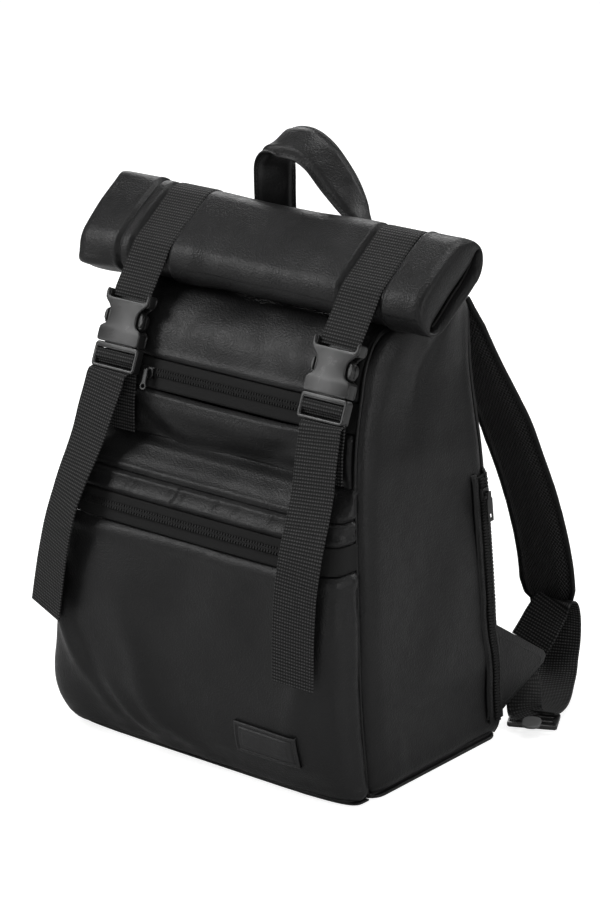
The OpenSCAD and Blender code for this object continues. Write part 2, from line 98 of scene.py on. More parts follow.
def spline(points, at):
    """A Catmull-Rom curve through the points, read at fractional indices."""
    points = np.asarray(points, float)
    last = len(points) - 1
    at = np.clip(np.asarray(at, float), 0, last - 1e-9)
    i = at.astype(int)
    f = at - i
    p0, p1, p2, p3 = (points[np.clip(i + k, 0, last)] for k in (-1, 0, 1, 2))
    if points.ndim > 1:
        f = f[..., None]
    return .5 * (2 * p1 + (p2 - p0) * f + (2 * p0 - 5 * p1 + 4 * p2 - p3) * f ** 2
                 + (3 * p1 - p0 - 3 * p2 + p3) * f ** 3)


def hash3(ix, iy, iz, seed):
    """A repeatable number in -1..1 for each whole-number cell."""
    h = (ix * 374761393 + iy * 668265263 + iz * 2147483647 + seed * 974634777) & 0x7FFFFFFF
    h = ((h ^ (h >> 13)) * 1274126177) & 0x7FFFFFFF
    return ((h ^ (h >> 16)) & 0xFFFF) / 32767.5 - 1.0


def noise(points, size, seed):
    """Smooth noise in -1..1, its features about size mm across (one number or three)."""
    q = np.asarray(points, float) / np.asarray(size, float)
    cell = np.floor(q)
    f = q - cell
    f = f * f * f * (f * (f * 6 - 15) + 10)
    cell = cell.astype(np.int64)
    out = 0
    for corner in np.ndindex(2, 2, 2):
        wx, wy, wz = (f[..., k] if corner[k] else 1 - f[..., k] for k in range(3))
        at = [cell[..., k] + corner[k] for k in range(3)]
        out = out + wx * wy * wz * hash3(*at, seed)
    return out


def unit(v):
    v = np.asarray(v, float)
    return v / np.maximum(np.linalg.norm(v, axis=-1, keepdims=True), 1e-12)


def arclen(path):
    return np.concatenate([[0], np.cumsum(np.linalg.norm(np.diff(path, axis=0), axis=1))])


def at_length(path, lengths, t):
    """Each column of the path, read at the lengths t."""
    return np.stack([interp(t, lengths, path[:, k]) for k in range(path.shape[1])], 1)


def resample(path, count=None, step=None):
    path = np.asarray(path, float)
    lengths = arclen(path)
    if count is None:
        count = max(2, int(round(lengths[-1] / step)) + 1)
    return at_length(path, lengths, np.linspace(0, lengths[-1], count))


def smooth_path(points, per=12):
    """A spline through the points, with per steps between neighbours."""
    points = np.asarray(points, float)
    last = len(points) - 1
    return spline(points, np.linspace(0, last, last * per + 1))


def mesh(a, b):
    return np.meshgrid(a, b, indexing="ij")


def pairs(a, b):
    return np.stack(mesh(a, b), -1)


def views(grid):
    """The x, y and z of a grid as views: changing one in place changes the grid."""
    return np.moveaxis(grid, -1, 0)


def blur(line, kernel):
    padded = np.pad(line, len(kernel) // 2, mode="reflect", reflect_type="odd")
    return np.convolve(padded, kernel, "valid")


def arc(centre, radius, start, end, count):
    """Points round a centre, between two angles in degrees."""
    a = np.radians(np.linspace(start, end, count))
    return centre + radius * np.stack([np.cos(a), np.sin(a)], 1)


# ------------------------------------------------------------------ meshes
def tag(obj, cad=None):
    """Hide the CAD piece that this one stands in for, if one is given."""
    if cad:
        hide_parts(cad)
    return obj


def make(name, points, faces, material, body="bag", uv=None, smooth=True, fix=True):
    """A mesh from points in mm and quads (a repeated last index makes a triangle)."""
    points = np.asarray(points, float)
    faces = np.asarray(faces, np.int64)
    triangle = faces[:, 3] == faces[:, 2]
    sizes = np.where(triangle, 3, 4)
    used = np.ones(faces.shape, bool)
    used[:, 3] = ~triangle
    loops = faces[used]
    starts = np.concatenate([[0], np.cumsum(sizes)[:-1]])
    me = bpy.data.meshes.new(name)
    me.vertices.add(len(points))
    me.vertices.foreach_set("co", (points * 0.001).ravel())
    me.loops.add(len(loops))
    me.loops.foreach_set("vertex_index", loops.astype(np.int32))
    me.polygons.add(len(faces))
    me.polygons.foreach_set("loop_start", starts.astype(np.int32))
    me.polygons.foreach_set("loop_total", sizes.astype(np.int32))
    me.update(calc_edges=True)
    if uv is not None:
        layer = me.uv_layers.new(name="UVMap")
        layer.data.foreach_set("uv", np.asarray(uv, float)[loops].ravel())
    if fix:
        bm = bmesh.new()
        bm.from_mesh(me)
        bmesh.ops.recalc_face_normals(bm, faces=bm.faces)
        bm.to_mesh(me)
        bm.free()
    me.polygons.foreach_set("use_smooth", np.full(len(faces), smooth))
    me.validate()
    obj = bpy.data.objects.new(name, me)
    COLLECTION.objects.link(obj)
    if material:
        me.materials.append(material)
    if body:
        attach(obj, body)
    return obj


def quads(rows, cols, offset=0, wrap=False):
    i, j = mesh(np.arange(rows - 1), np.arange(cols if wrap else cols - 1))
    a = i * cols + j
    b = i * cols + (j + 1) % cols
    return np.stack([a, b, b + cols, a + cols], -1).reshape(-1, 4) + offset


def normals(grid):
    """Unit normals, along row direction x column direction."""
    return unit(np.cross(np.gradient(grid, axis=0), np.gradient(grid, axis=1)))


def slab(name, outer, material, thick=0, sign=1, body="bag", uv=None, inner=None):
    """A closed skin: the outer grid faces sign * normal; the inner lies thick mm behind it."""
    rows, cols = outer.shape[:2]
    if inner is None:
        inner = outer - normals(outer) * sign * thick
    points = np.concatenate([outer.reshape(-1, 3), inner.reshape(-1, 3)])
    q = rows * cols
    faces = [quads(rows, cols), quads(rows, cols, q)[:, ::-1]]
    r = np.arange(cols - 1)
    faces.append(np.stack([r, r + q, r + 1 + q, r + 1], 1))
    r = r + (rows - 1) * cols
    faces.append(np.stack([r, r + 1, r + 1 + q, r + q], 1))
    r = np.arange(rows - 1) * cols
    faces.append(np.stack([r, r + cols, r + cols + q, r + q], 1))
    r = r + cols - 1
    faces.append(np.stack([r, r + q, r + cols + q, r + cols], 1))
    if uv is not None:
        uv = np.tile(uv.reshape(-1, 2), (2, 1))
    return make(name, points, np.concatenate(faces), material, body, uv)


def border(grid):
    """Each point's distance from the first row, last row, first column and last column."""
    rows = np.cumsum(np.linalg.norm(np.diff(grid, axis=0), axis=2), 0)
    cols = np.cumsum(np.linalg.norm(np.diff(grid, axis=1), axis=2), 1)
    rows = np.pad(rows, ((1, 0), (0, 0)))
    cols = np.pad(cols, ((0, 0), (1, 0)))
    return rows, rows[-1:] - rows, cols, cols[:, -1:] - cols


def seamed(grid, sign, edges, puff, behind, width=2.2):
    """Sew the edges: a groove along each and a soft roll of height puff, behind mm in.

    edges scales the 1.5 mm groove at the first row, last row, first and last column; 0 is open.
    """
    height = 0
    for scale, d in zip(edges, border(grid)):
        if scale:
            roll = puff * bell((d - behind) / behind * 1.5, 1)
            height = height + (-1.5 * scale * bell(d, width) + roll)
    return grid + normals(grid) * sign * height[..., None]


def rings_at(centres, across, up, sections):
    """Flat sections (n, m, 2) set up on the two given axes at each of n centres."""
    return centres[:, None] + across[:, None] * sections[..., :1] + up[:, None] * sections[..., 1:]


def loft(name, rings, material, body="bag", uv=None):
    """A skin over closed rings (n, m, 3), each end closed by a fan."""
    n, m = rings.shape[:2]
    points = np.concatenate([rings.reshape(-1, 3), rings[:1].mean(1), rings[-1:].mean(1)])
    j = np.arange(m)
    k = (j + 1) % m
    hub = np.full(m, n * m)
    last = (n - 1) * m
    faces = [quads(n, m, wrap=True), np.stack([j, k, hub, hub], 1),
             np.stack([k + last, j + last, hub + 1, hub + 1], 1)]
    if uv is not None:
        uv = uv.reshape(-1, 2)
        uv = np.concatenate([uv, uv[:1], uv[-1:]])
    return make(name, points, np.concatenate(faces), material, body, uv)


def tube(name, path, radius, material, body="bag", wobble=0.0):
    path = resample(path, step=1.6)
    tangent = unit(np.gradient(path, axis=0))
    up = [0, 0, 1.0] if abs(tangent[:, 2]).max() < .9 else [1.0, 0, .3]
    across = unit(np.cross(up, tangent))
    a = np.linspace(0, 2 * np.pi, 11)[:-1]
    radii = radius * (1 + wobble * noise(path, 9, 3))
    sections = np.stack([np.cos(a), np.sin(a)], -1)[None] * radii[:, None, None]
    return loft(name, rings_at(path, across, np.cross(tangent, across), sections), material, body)


def ribbon(name, centre, across, width, material, body="bag", rib=.34):
    """Woven webbing along a centre line: real ribs across it, two faces, rounded selvedges."""
    thick, pitch = 1.7, 2.6                      # webbing thickness, rib spacing
    lengths = arclen(centre)
    t = np.linspace(0, lengths[-1], max(3, int(lengths[-1] / .65)))
    line = at_length(centre, lengths, t)
    # soften the corners that linear resampling leaves
    kernel = np.hanning(9)
    kernel /= kernel.sum()
    for k in range(3):
        line[:, k] = blur(line[:, k], kernel)
    across = unit(at_length(np.broadcast_to(across, np.shape(centre)), lengths, t))
    tangent = unit(np.gradient(line, axis=0))
    up = unit(np.cross(tangent, across))
    across = unit(np.cross(up, tangent))
    v = np.linspace(-.5, .5, int(width / .575) + 1)
    ribs = np.abs(np.sin(np.pi * t / pitch)) ** .6
    threads = .6 + .4 * np.abs(np.cos(np.pi * v[None] * width / 2.3)) ** .8
    height = rib * ribs[:, None] * threads
    edge = np.clip((.5 - np.abs(v)) * width / 1.2, 0, 1)
    selvedge = np.sqrt(1 - (1 - edge) ** 2)[None]
    top = (thick / 2 - rib * .5 + height) * (.25 + .75 * selvedge)
    flat = line[:, None] + across[:, None] * (v[None, :, None] * width)
    rise = up[:, None] * top[..., None]
    return slab(name, flat + rise, material, body=body, inner=flat - rise,
                uv=pairs(t, v * width) * .001)


def instances(name, points, faces, frames, material, body="bag", smooth=False):
    """Copies of a small mesh in one object; each frame is an origin and three axes."""
    at = frames[:, None, 0]
    for k in range(3):
        at = at + points[None, :, k:k + 1] * frames[:, None, k + 1]
    offsets = (np.arange(len(frames)) * len(points))[:, None, None]
    return make(name, at.reshape(-1, 3), (faces[None] + offsets).reshape(-1, 4), material, body,
                smooth=smooth)


def tooth_mesh():
    """A zip tooth: x across, y along, z height, its head by x = 0 and its foot on the tape."""
    half = [(-.7, .42), (.5, .58), (1.0, .46), (1.5, .86), (3.4, .9), (3.7, .6)]
    outline = np.array(half + [(x, -y) for x, y in half[::-1]])
    centre = np.array([1.4, 0])
    points = []
    for scale, z in ((1.0, 0.0), (1.0, 1.15), (.8, 1.6)):
        points += [[*q, z] for q in (outline - centre) * scale + centre]
    k = len(outline)
    caps = []
    for b, order in ((2 * k, 1), (0, -1)):
        caps += [[b + j, b + j + 1, b + k - 2 - j, b + k - 1 - j][::order] for j in range(5)]
    return np.array(points), np.concatenate([quads(3, k, wrap=True), caps])


def chain(name, centre, along, out, pitch, cad):
    """Interlocked zip teeth along a centre line; out is the way they face."""
    lengths = arclen(centre)
    k = int(lengths[-1] / pitch * 2)
    t = (np.arange(k) + .5) * pitch / 2
    at, along, out = (at_length(np.broadcast_to(q, centre.shape), lengths, t)
                      for q in (centre, along, out))
    along, out = unit(along), unit(out)
    side = unit(np.cross(out, along)) * np.where(np.arange(k) % 2, 1, -1)[:, None]
    frames = np.stack([at - side * .55, side, along, out], 1)
    tag(instances(name, *tooth_mesh(), frames, TEETH), cad)


def grain_mesh(length, radius):
    """A stitch: a low rice grain of thread."""
    points = []
    for s, k in ((-.5, .35), (-.38, .9), (0, 1.0), (.38, .9), (.5, .35)):
        for a in range(6):
            turn = a * math.pi / 3
            points.append([s * length, radius * k * math.cos(turn),
                           radius * k * math.sin(turn) * .8])
    caps = []
    for b, order in ((0, 1), (24, -1)):
        ring = [b + a for a in range(6)][::order]
        caps += [ring[:4], [ring[0], *ring[3:]]]
    return np.array(points), np.concatenate([quads(5, 6, wrap=True), caps])


def stitches(name, path, out, body="bag", pitch=3.2, length=2.3, radius=.28):
    """A row of stitches along a path on a surface with normals out."""
    path = np.asarray(path, float)
    lengths = arclen(path)
    k = max(1, int(lengths[-1] / pitch))
    t = (np.arange(k) + .5) * lengths[-1] / k
    along = unit(at_length(np.gradient(path, lengths, axis=0), lengths, t))
    out = np.broadcast_to(np.asarray(out, float), path.shape)
    out = unit(at_length(out, lengths, t))
    at = at_length(path, lengths, t) + out * .15
    frames = np.stack([at, along, unit(np.cross(out, along)), out], 1)
    tag(instances(name, *grain_mesh(length, radius), frames, THREAD, body, True))


def rounded(w, h, r, x=0, z=0, seg=6):
    """A w by h rectangle about x, z with corners of radius r."""
    points = []
    for qx, qz, start in ((1, 1, 0), (-1, 1, 90), (-1, -1, 180), (1, -1, 270)):
        for k in range(seg + 1):
            a = math.radians(start + 90 * k / seg)
            points.append((x + qx * (w / 2 - r) + r * math.cos(a),
                           z + qz * (h / 2 - r) + r * math.sin(a)))
    return points


def flipped(outline, side=-1):
    return [(side * x, z) for x, z in outline]


def place_at(origin, ux, uy, uz):
    """A map from local mm to bag mm."""
    origin, ux, uy, uz = (np.asarray(q, float) for q in (origin, ux, uy, uz))
    return lambda v: origin + v[:, :1] * ux + v[:, 1:2] * uy + v[:, 2:] * uz


def moulded(name, plates, material, body, place):
    """Bevelled plates, each (outlines in x-z, y of its centre, depth, bevel), set by place."""
    points, faces, offset = [], [], 0
    for outlines, y, depth, bevel in plates:
        curve = bpy.data.curves.new("tmp", "CURVE")
        curve.dimensions = "2D"
        curve.fill_mode = "BOTH"
        curve.extrude = max(depth / 2 - bevel, .01)
        curve.bevel_depth = bevel
        curve.bevel_resolution = 3
        curve.offset = -bevel
        for outline in outlines:
            line = curve.splines.new("POLY")
            line.points.add(len(outline) - 1)
            flat = np.array([(x, z, 0, 1) for x, z in outline], float)
            line.points.foreach_set("co", flat.ravel())
            line.use_cyclic_u = True
        obj = bpy.data.objects.new("tmp", curve)
        COLLECTION.objects.link(obj)
        graph = bpy.context.evaluated_depsgraph_get()
        me = bpy.data.meshes.new_from_object(obj.evaluated_get(graph), depsgraph=graph)
        bm = bmesh.new()
        bm.from_mesh(me)
        bmesh.ops.remove_doubles(bm, verts=bm.verts, dist=1e-4)
        bm.verts.index_update()
        v = np.array([vert.co[:] for vert in bm.verts])
        for face in bm.faces:
            ix = [vert.index + offset for vert in face.verts]
            if len(ix) == 4:
                faces.append(ix)
            else:
                for k in range(1, len(ix) - 1):
                    faces.append([ix[0], ix[k], ix[k + 1], ix[k + 1]])
        bm.free()
        points.append(np.stack([v[:, 0], v[:, 2] + y, v[:, 1]], 1))
        offset += len(v)
        bpy.data.objects.remove(obj)
        bpy.data.curves.remove(curve)
        bpy.data.meshes.remove(me)
    obj = make(name, place(np.concatenate(points)), np.array(faces), material, body)
    obj.data.set_sharp_from_angle(angle=math.radians(38))
    return obj


# ------------------------------------------------------------------ cloth
def bilinear(grid, rows, cols):
    """The grid read at fractional rows and columns."""
    i = np.clip(rows.astype(int), 0, grid.shape[0] - 2)
    j = np.clip(cols.astype(int), 0, grid.shape[1] - 2)
    fi, fj = (rows - i)[:, None, None], (cols - j)[None, :, None]

    def at(a, b):
        return grid[np.ix_(a, b)]

    return (at(i, j) * (1 - fi) * (1 - fj) + at(i + 1, j) * fi * (1 - fj)
            + at(i, j + 1) * (1 - fi) * fj + at(i + 1, j + 1) * fi * fj)


def settle(grid, grow, step=6.0, gravity=.4, pressure=.4, soft=16.0, amount=.75):
    """Let a soft panel, pinned at its seams and cut a little large, sag and buckle.

    It is simulated on a grid of about step mm, and then amount of its movement, smoothed over
    soft mm, goes back on the fine grid. The grid's normals point into the bag.
    """
    frames = 26
    n, m = grid.shape[:2]
    tall = np.linalg.norm(np.diff(grid[:, m // 2], axis=0), axis=1).sum()
    wide = np.linalg.norm(np.diff(grid[n // 2], axis=0), axis=1).sum()
    rows, cols = max(8, int(tall / step)), max(8, int(wide / step))
    coarse = bilinear(grid, np.linspace(0, n - 1, rows), np.linspace(0, m - 1, cols))
    obj = make("cloth_tmp", coarse.reshape(-1, 3), quads(rows, cols)[:, ::-1], None, None,
               fix=False)
    pin = obj.vertex_groups.new(name="pin")
    for i in range(rows):
        for j in range(cols):
            weight = 1.0 - .5 * min(rows - 1 - i, i, j, cols - 1 - j)
            if weight > 0:
                pin.add([i * cols + j], weight, "REPLACE")
    modifier = obj.modifiers.new("cloth", "CLOTH")
    cloth = modifier.settings
    cloth.quality = 6
    cloth.mass = .012
    cloth.air_damping = 4
    cloth.tension_stiffness = 14
    cloth.compression_stiffness = 8
    cloth.shear_stiffness = 6
    cloth.bending_stiffness = 2.0
    cloth.shrink_min = -grow
    cloth.vertex_group_mass = "pin"
    cloth.effector_weights.gravity = gravity
    cloth.use_pressure = True
    cloth.uniform_pressure_force = pressure
    modifier.collision_settings.use_self_collision = False
    modifier.point_cache.frame_end = frames + 2
    scene = bpy.context.scene
    for frame in range(1, frames + 1):
        scene.frame_set(frame)
    evaluated = obj.evaluated_get(bpy.context.evaluated_depsgraph_get())
    co = np.empty(rows * cols * 3)
    evaluated.data.vertices.foreach_get("co", co)
    moved = co.reshape(rows, cols, 3) * 1000 - coarse
    bpy.data.objects.remove(obj)
    scene.frame_set(1)
    moved = np.clip(np.nan_to_num(moved), -7, 7)
    # leather is too stiff to crinkle: keep the broad folds
    kernel = bell(np.arange(-6, 7), soft / step)
    kernel /= kernel.sum()
    for axis in (0, 1):
        moved = np.apply_along_axis(blur, axis, moved, kernel)
    moved *= amount
    for fine, count in ((n, rows), (m, cols)):
        at = np.arange(fine) * (count - 1) / (fine - 1)
        other = moved.shape[1]
        moved = spline(moved.reshape(count, other * 3), at).reshape(fine, other, 3)
        moved = np.swapaxes(moved, 0, 1)
    return grid + moved


# ------------------------------------------------------------------ materials
class Nodes:
    """Short ways to add nodes to a tree."""

    def __init__(self, tree):
        self.tree = tree
        tree.nodes.clear()

    def node(self, kind, **settings):
        node = self.tree.nodes.new(kind)
        for key, value in settings.items():
            setattr(node, key, value)
        return node

    def feed(self, socket, value):
        """Set the socket to a number, or link it to another node's output."""
        if isinstance(value, (int, float)):
            socket.default_value = value
        else:
            self.tree.links.new(value, socket)

    def ramp(self, fac, stops):
        """A colour ramp; a stop is (position, grey or rgb)."""
        node = self.node("ShaderNodeValToRGB")
        elements = node.color_ramp.elements
        while len(elements) < len(stops):
            elements.new(.5)
        for element, (position, c) in zip(elements, stops):
            element.position = position
            element.color = (c, c, c, 1) if isinstance(c, (int, float)) else (*c, 1)
        self.feed(node.inputs[0], fac)
        return node.outputs[0]

    def math(self, operation, *values):
        node = self.node("ShaderNodeMath", operation=operation)
        for k, value in enumerate(values):
            self.feed(node.inputs[k], value)
        return node.outputs[0]

    def add(self, a, b):
        return self.math("ADD", a, b)

    def sub(self, a, b):
        return self.math("SUBTRACT", a, b)

    def mul(self, a, b):
        return self.math("MULTIPLY", a, b)

    def sine(self, value, pitch):
        """A sine that crosses zero every pitch."""
        return self.math("SINE", self.mul(value, math.pi / pitch))

    def ridges(self, value, pitch):
        return self.math("ABSOLUTE", self.sine(value, pitch))


class Mat(Nodes):
    """A Principled material."""

    def __init__(self, name):
        self.material = bpy.data.materials.new(name)
        self.material.use_nodes = True
        super().__init__(self.material.node_tree)
        out = self.node("ShaderNodeOutputMaterial")
        self.shader = self.node("ShaderNodeBsdfPrincipled")
        self.feed(out.inputs[0], self.shader.outputs[0])
        self.coords = self.node("ShaderNodeTexCoord")

    def texture(self, kind, scale, **settings):
        node = self.node(kind, **settings)
        node.inputs["Scale"].default_value = scale
        self.feed(node.inputs["Vector"], self.coords.outputs["Object"])
        return node

    def noise(self, scale, detail):
        node = self.texture("ShaderNodeTexNoise", scale)
        node.inputs["Detail"].default_value = detail
        return node.outputs["Fac"]

    def cells(self, scale, smoothness=None):
        feature = "SMOOTH_F1" if smoothness else "F1"
        node = self.texture("ShaderNodeTexVoronoi", scale, feature=feature)
        if smoothness:
            node.inputs["Smoothness"].default_value = smoothness
        return node.outputs["Distance"]

    def uv(self):
        node = self.node("ShaderNodeSeparateXYZ")
        self.feed(node.inputs[0], self.coords.outputs["UV"])
        return node.outputs["X"], node.outputs["Y"]

    def multiply(self, a, b, factor):
        """Colour a darkened by colour b."""
        node = self.node("ShaderNodeMix", data_type="RGBA", blend_type="MULTIPLY")
        node.inputs["Factor"].default_value = factor
        self.feed(node.inputs["A"], a)
        self.feed(node.inputs["B"], b)
        return node.outputs["Result"]

    def speckle(self, value, fac, amount):
        """The value, varied by amount either way with the noise fac."""
        return self.add(value, self.mul(self.sub(fac, .5), amount))

    def bump(self, height, distance, strength, under=None):
        node = self.node("ShaderNodeBump")
        node.inputs["Distance"].default_value = distance
        node.inputs["Strength"].default_value = strength
        self.feed(node.inputs["Height"], height)
        if under is not None:
            self.feed(node.inputs["Normal"], under)
        return node.outputs[0]

    def finish(self, color, roughness, normal=None, specular=.3):
        self.feed(self.shader.inputs["Base Color"], color)
        self.feed(self.shader.inputs["Roughness"], roughness)
        if normal is not None:
            self.feed(self.shader.inputs["Normal"], normal)
        self.shader.inputs["Specular IOR Level"].default_value = specular
        return self.material


def leather(name, base=.0088, rough=.42, grain=1.0):
    """Black grained leather: base is its brightness, grain scales the relief."""
    mat = Mat(name)
    clouds = mat.noise(scale=14, detail=3.0)
    fine = mat.noise(scale=900, detail=4.0)
    pores = mat.cells(scale=1150)
    pebbles = mat.cells(scale=620, smoothness=.5)
    mid = mat.noise(scale=120, detail=3.0)
    tint = (1, 1, 1.03)
    color = mat.ramp(clouds, [(.3, tuple(base * .82 * t for t in tint)),
                              (.7, tuple(base * 1.18 * t for t in tint))])
    color = mat.multiply(color, mat.ramp(pores, [(.0, 1.0), (.55, .72)]), factor=.6)
    roughness = mat.ramp(mid, [(.25, rough - .05), (.75, rough + .07)])
    roughness = mat.speckle(roughness, fine, amount=.16)
    relief = mat.add(mat.mul(pores, .5), mat.mul(pebbles, .8))
    bump = mat.bump(relief, distance=.0003 * grain, strength=.8)
    bump = mat.bump(mid, distance=.0004 * grain, strength=.2, under=bump)
    return mat.finish(color, roughness, bump)


def webbing(name, base=.0025, thread_sheen=.055):
    """Woven webbing: the thread tops carry a painted highlight and the gaps between threads
    painted shade; base sets the brightness of the gaps, the last argument that of the tops.
    """
    mat = Mat(name)
    row_pitch, thread_pitch = .0026, .0023
    row_shift = .0                               # how far every other row is moved along
    u, v = mat.uv()
    odd_row = mat.math("MODULO", mat.math("FLOOR", mat.math("DIVIDE", u, row_pitch)), 2.0)
    rows = mat.ridges(u, row_pitch)
    phase = mat.add(mat.math("DIVIDE", v, thread_pitch), mat.mul(odd_row, row_shift))
    threads = mat.add(mat.mul(mat.math("COSINE", mat.mul(phase, 2 * math.pi)), .5), .5)
    weave = mat.mul(mat.math("POWER", rows, 1.8), mat.add(mat.mul(threads, .62), .38))
    fibres = mat.noise(scale=2600, detail=2.0)
    patches = mat.noise(scale=300, detail=2.0)
    # painted shade in the gaps between threads, and a painted highlight on the thread tops
    color = mat.ramp(weave, [(.0, base * .25), (.3, base * .6), (.85, thread_sheen)])
    worn = mat.ramp(mat.mul(fibres, mat.add(patches, .5)), [(.2, .35), (.75, 1.3)])
    color = mat.multiply(color, worn, factor=.8)
    roughness = mat.ramp(fibres, [(.3, .6), (.7, .78)])
    bump = mat.bump(weave, distance=.0005, strength=.9)
    bump = mat.bump(fibres, distance=.00012, strength=.6, under=bump)
    return mat.finish(color, roughness, bump)


def woven_cloth(name, base, scale, rough=.8):
    mat = Mat(name)
    cells = mat.cells(scale)
    fuzz = mat.noise(scale * 1.5, detail=2.0)
    color = mat.ramp(cells, [(.0, base * 1.5), (.6, base * .5)])
    roughness = mat.ramp(fuzz, [(.3, rough - .08), (.7, rough + .1)])
    return mat.finish(color, roughness, mat.bump(cells, distance=.0003, strength=.6))


def zip_tape(name, base):
    """Fine twill: slanted threads crossed by straight ones."""
    mat = Mat(name)
    u, v = mat.uv()
    weave = mat.mul(mat.ridges(mat.add(u, v), .0011), mat.ridges(v, .0009))
    fibres = mat.noise(scale=2400, detail=2.0)
    color = mat.ramp(mat.mul(weave, mat.add(fibres, .3)), [(.0, base * .4), (.8, base * 2.4)])
    roughness = mat.ramp(fibres, [(.3, .68), (.7, .85)])
    return mat.finish(color, roughness, mat.bump(weave, distance=.00015, strength=.7))


def plastic(name, base, rough=.36, specular=.5):
    mat = Mat(name)
    fine = mat.noise(scale=3200, detail=2.0)
    clouds = mat.noise(scale=90, detail=3.0)
    color = mat.ramp(clouds, [(.3, base * .85), (.7, base * 1.2)])
    roughness = mat.ramp(clouds, [(.3, rough - .04), (.7, rough + .06)])
    roughness = mat.speckle(roughness, fine, amount=.12)
    bump = mat.bump(fine, distance=.00004, strength=.5)
    return mat.finish(color, roughness, bump, specular)


def spacer_mesh(name, base=.0035):
    """Knitted mesh with diamond holes: the raised strands carry a painted highlight, and the holes
    are darkened as painted shade.
    """
    mat = Mat(name)
    u, v = mat.uv()
    pitch, slant = .0042, 1.6
    a = mat.sine(mat.add(u, mat.mul(v, slant)), pitch)
    b = mat.sine(mat.sub(u, mat.mul(v, slant)), pitch)
    holes = mat.math("ABSOLUTE", mat.mul(a, b))
    fibres = mat.noise(scale=2600, detail=2.0)
    # painted highlight on the raised strands, painted shade in the holes
    color = mat.ramp(holes, [(.0, base * 12), (.22, base * 4), (.55, base * .15)])
    color = mat.multiply(color, mat.ramp(fibres, [(.2, .4), (.8, 1.2)]), factor=.6)
    bump = mat.bump(mat.sub(1.0, holes), distance=.0012, strength=.9)
    bump = mat.bump(fibres, distance=.0002, strength=.5, under=bump)
    return mat.finish(color, .85, bump, specular=.25)


LEATHER = leather("leather_body")
# a darker copy of the body leather: painted shade for the side walls and the pieces on them
SHADED_SIDE_LEATHER = leather("leather_side_painted_shade", base=.0068)
LEATHER_ROLL = leather("leather_roll", base=.0085, rough=.41)
# a much darker copy of the roll leather: painted shade on the inner turn inside the end slits
SHADED_INNER_LEATHER = leather("leather_inner_turn_painted_shade", base=.003, rough=.6)
LABEL = leather("label_leather", base=.021, rough=.42, grain=.7)
WEB = webbing("webbing_black")
WEB_DARK = webbing("webbing_dark", base=.004, thread_sheen=.024)
TAPE = zip_tape("zip_tape_weave", base=.005)
TEETH = plastic("zip_tooth_plastic", base=.0075, rough=.62, specular=.2)
METAL = plastic("zip_black_enamel", base=.004, rough=.34)
PLASTIC = plastic("buckle_acetal", base=.008, rough=.31, specular=.6)
LOCK_PLASTIC = plastic("ladder_lock_acetal", base=.07, rough=.42)
MESH = spacer_mesh("spacer_mesh")
THREAD = plastic("stitch_thread", base=.02, rough=.6)
LINING = woven_cloth("lining_cloth", base=.02, scale=1200)
PIPING = leather("piping_leather", base=.007, rough=.43, grain=.6)


# ------------------------------------------------------------------ the bag's walls
def station(z, seam=FRONT):
    """The fractional station at which a seam reaches height z."""
    at = np.linspace(0, LAST, 1101)
    return interp(z, spline(seam[:, 2], at), at)


def tuck(z, height=14.0, depth=5.0):
    """How far a wall curls in towards the floor seam at height z."""
    return depth * np.clip(1 - z / height, 0, 1) ** 2


def side_grid(noise_shift):
    """The +x side wall: rows rise, columns run from front to back."""
    level, v = mesh(np.linspace(station(2.9), LAST, 150), np.linspace(0, 1, 64))
    front, back = spline(FRONT, level), spline(BACK, level)
    wall = front * (1 - v[..., None]) + back * v[..., None]
    x, y, z = views(wall)
    # the gusset swells to a ridge, sharper towards the mouth
    power = interp(level, [0, 6, 11], [2.2, 1.9, 1.1])
    w = np.where(v < .46, v / .46 * .5, .5 + (v - .46) / .54 * .5)
    x += spline(SIDE_SWELL, level) * (1 - np.abs(2 * w - 1) ** power)
    depth = np.linalg.norm(back - front, axis=-1)
    from_front, from_back = v * depth, (1 - v) * depth
    low = interp(level, [0, 6.5, 9], [1, 1, 0])
    # the front edge rounds over to meet the front seam, the back edge less so
    x -= low * (8.0 * np.clip(1 - from_front / 20, 0, 1) ** 2.2
                + 4.0 * np.clip(1 - from_back / 12, 0, 1) ** 2)
    x -= tuck(z, 16, 6)
    x += low * 1.6 * np.sin(np.pi * np.clip(v, 0, 1)) * interp(z, [0, 120, 260], [.6, 1, .3])
    q = wall + [0, noise_shift, 0]
    wrinkles = (1.3 * noise(q, (400, 70, 120), 5) + .7 * noise(q, (400, 26, 60), 6)
                + .25 * noise(q, (99, 12, 18), 7))
    # long soft folds below the roll
    fold = bell(z - 330, 70) * (1.4 * np.sin((y * .8 - z * .42) / 9.5 + 1.3) * bell(y, 38))
    # a shallow dent along the fold line of the gusset
    off_line = y - interp(z, [300, 320, 345, 367, 392], [-22, -14, 5, 26, 22])
    crease = -1.8 * bell(off_line - 7, 6) * ease((z - 285) / 40) * (z < 385)
    x += low * (wrinkles * ease(from_front / 14) * ease(from_back / 10)) + fold * low + crease
    return wall


def side_walls():
    for (side, m), noise_shift, grow in zip(SIDES, (0, 500), (.01, .012)):
        wall = side_grid(noise_shift)
        wall[:118] = settle(wall[:118], grow)
        wall = seamed(wall, -1, (1, 0, 1.1, .8), puff=1.3, behind=8) * [m, 1, 1]
        tag(slab("side_wall_" + side, wall, SHADED_SIDE_LEATHER, 2.0, -m),
            "side_panel_" + side)


def front_grid(bottom, top, rows, cols):
    """A band of the front wall: rows rise, columns run to +x. Also returns x from -1 to 1."""
    level, u = mesh(np.linspace(station(bottom), station(top), rows), np.linspace(-1, 1, cols))
    wall = spline(FRONT, level)
    x, y, z = views(wall)
    x[:] = u * (x - interp(level, [0, 6.5, 9], [1, 1, 0]) * 8.0)
    middle = 1 - np.clip((np.abs(u) - .45) / .55, 0, 1) ** 2
    y -= FRONT_BULGE * spline(FRONT_SHARE, level) * middle
    return wall, u


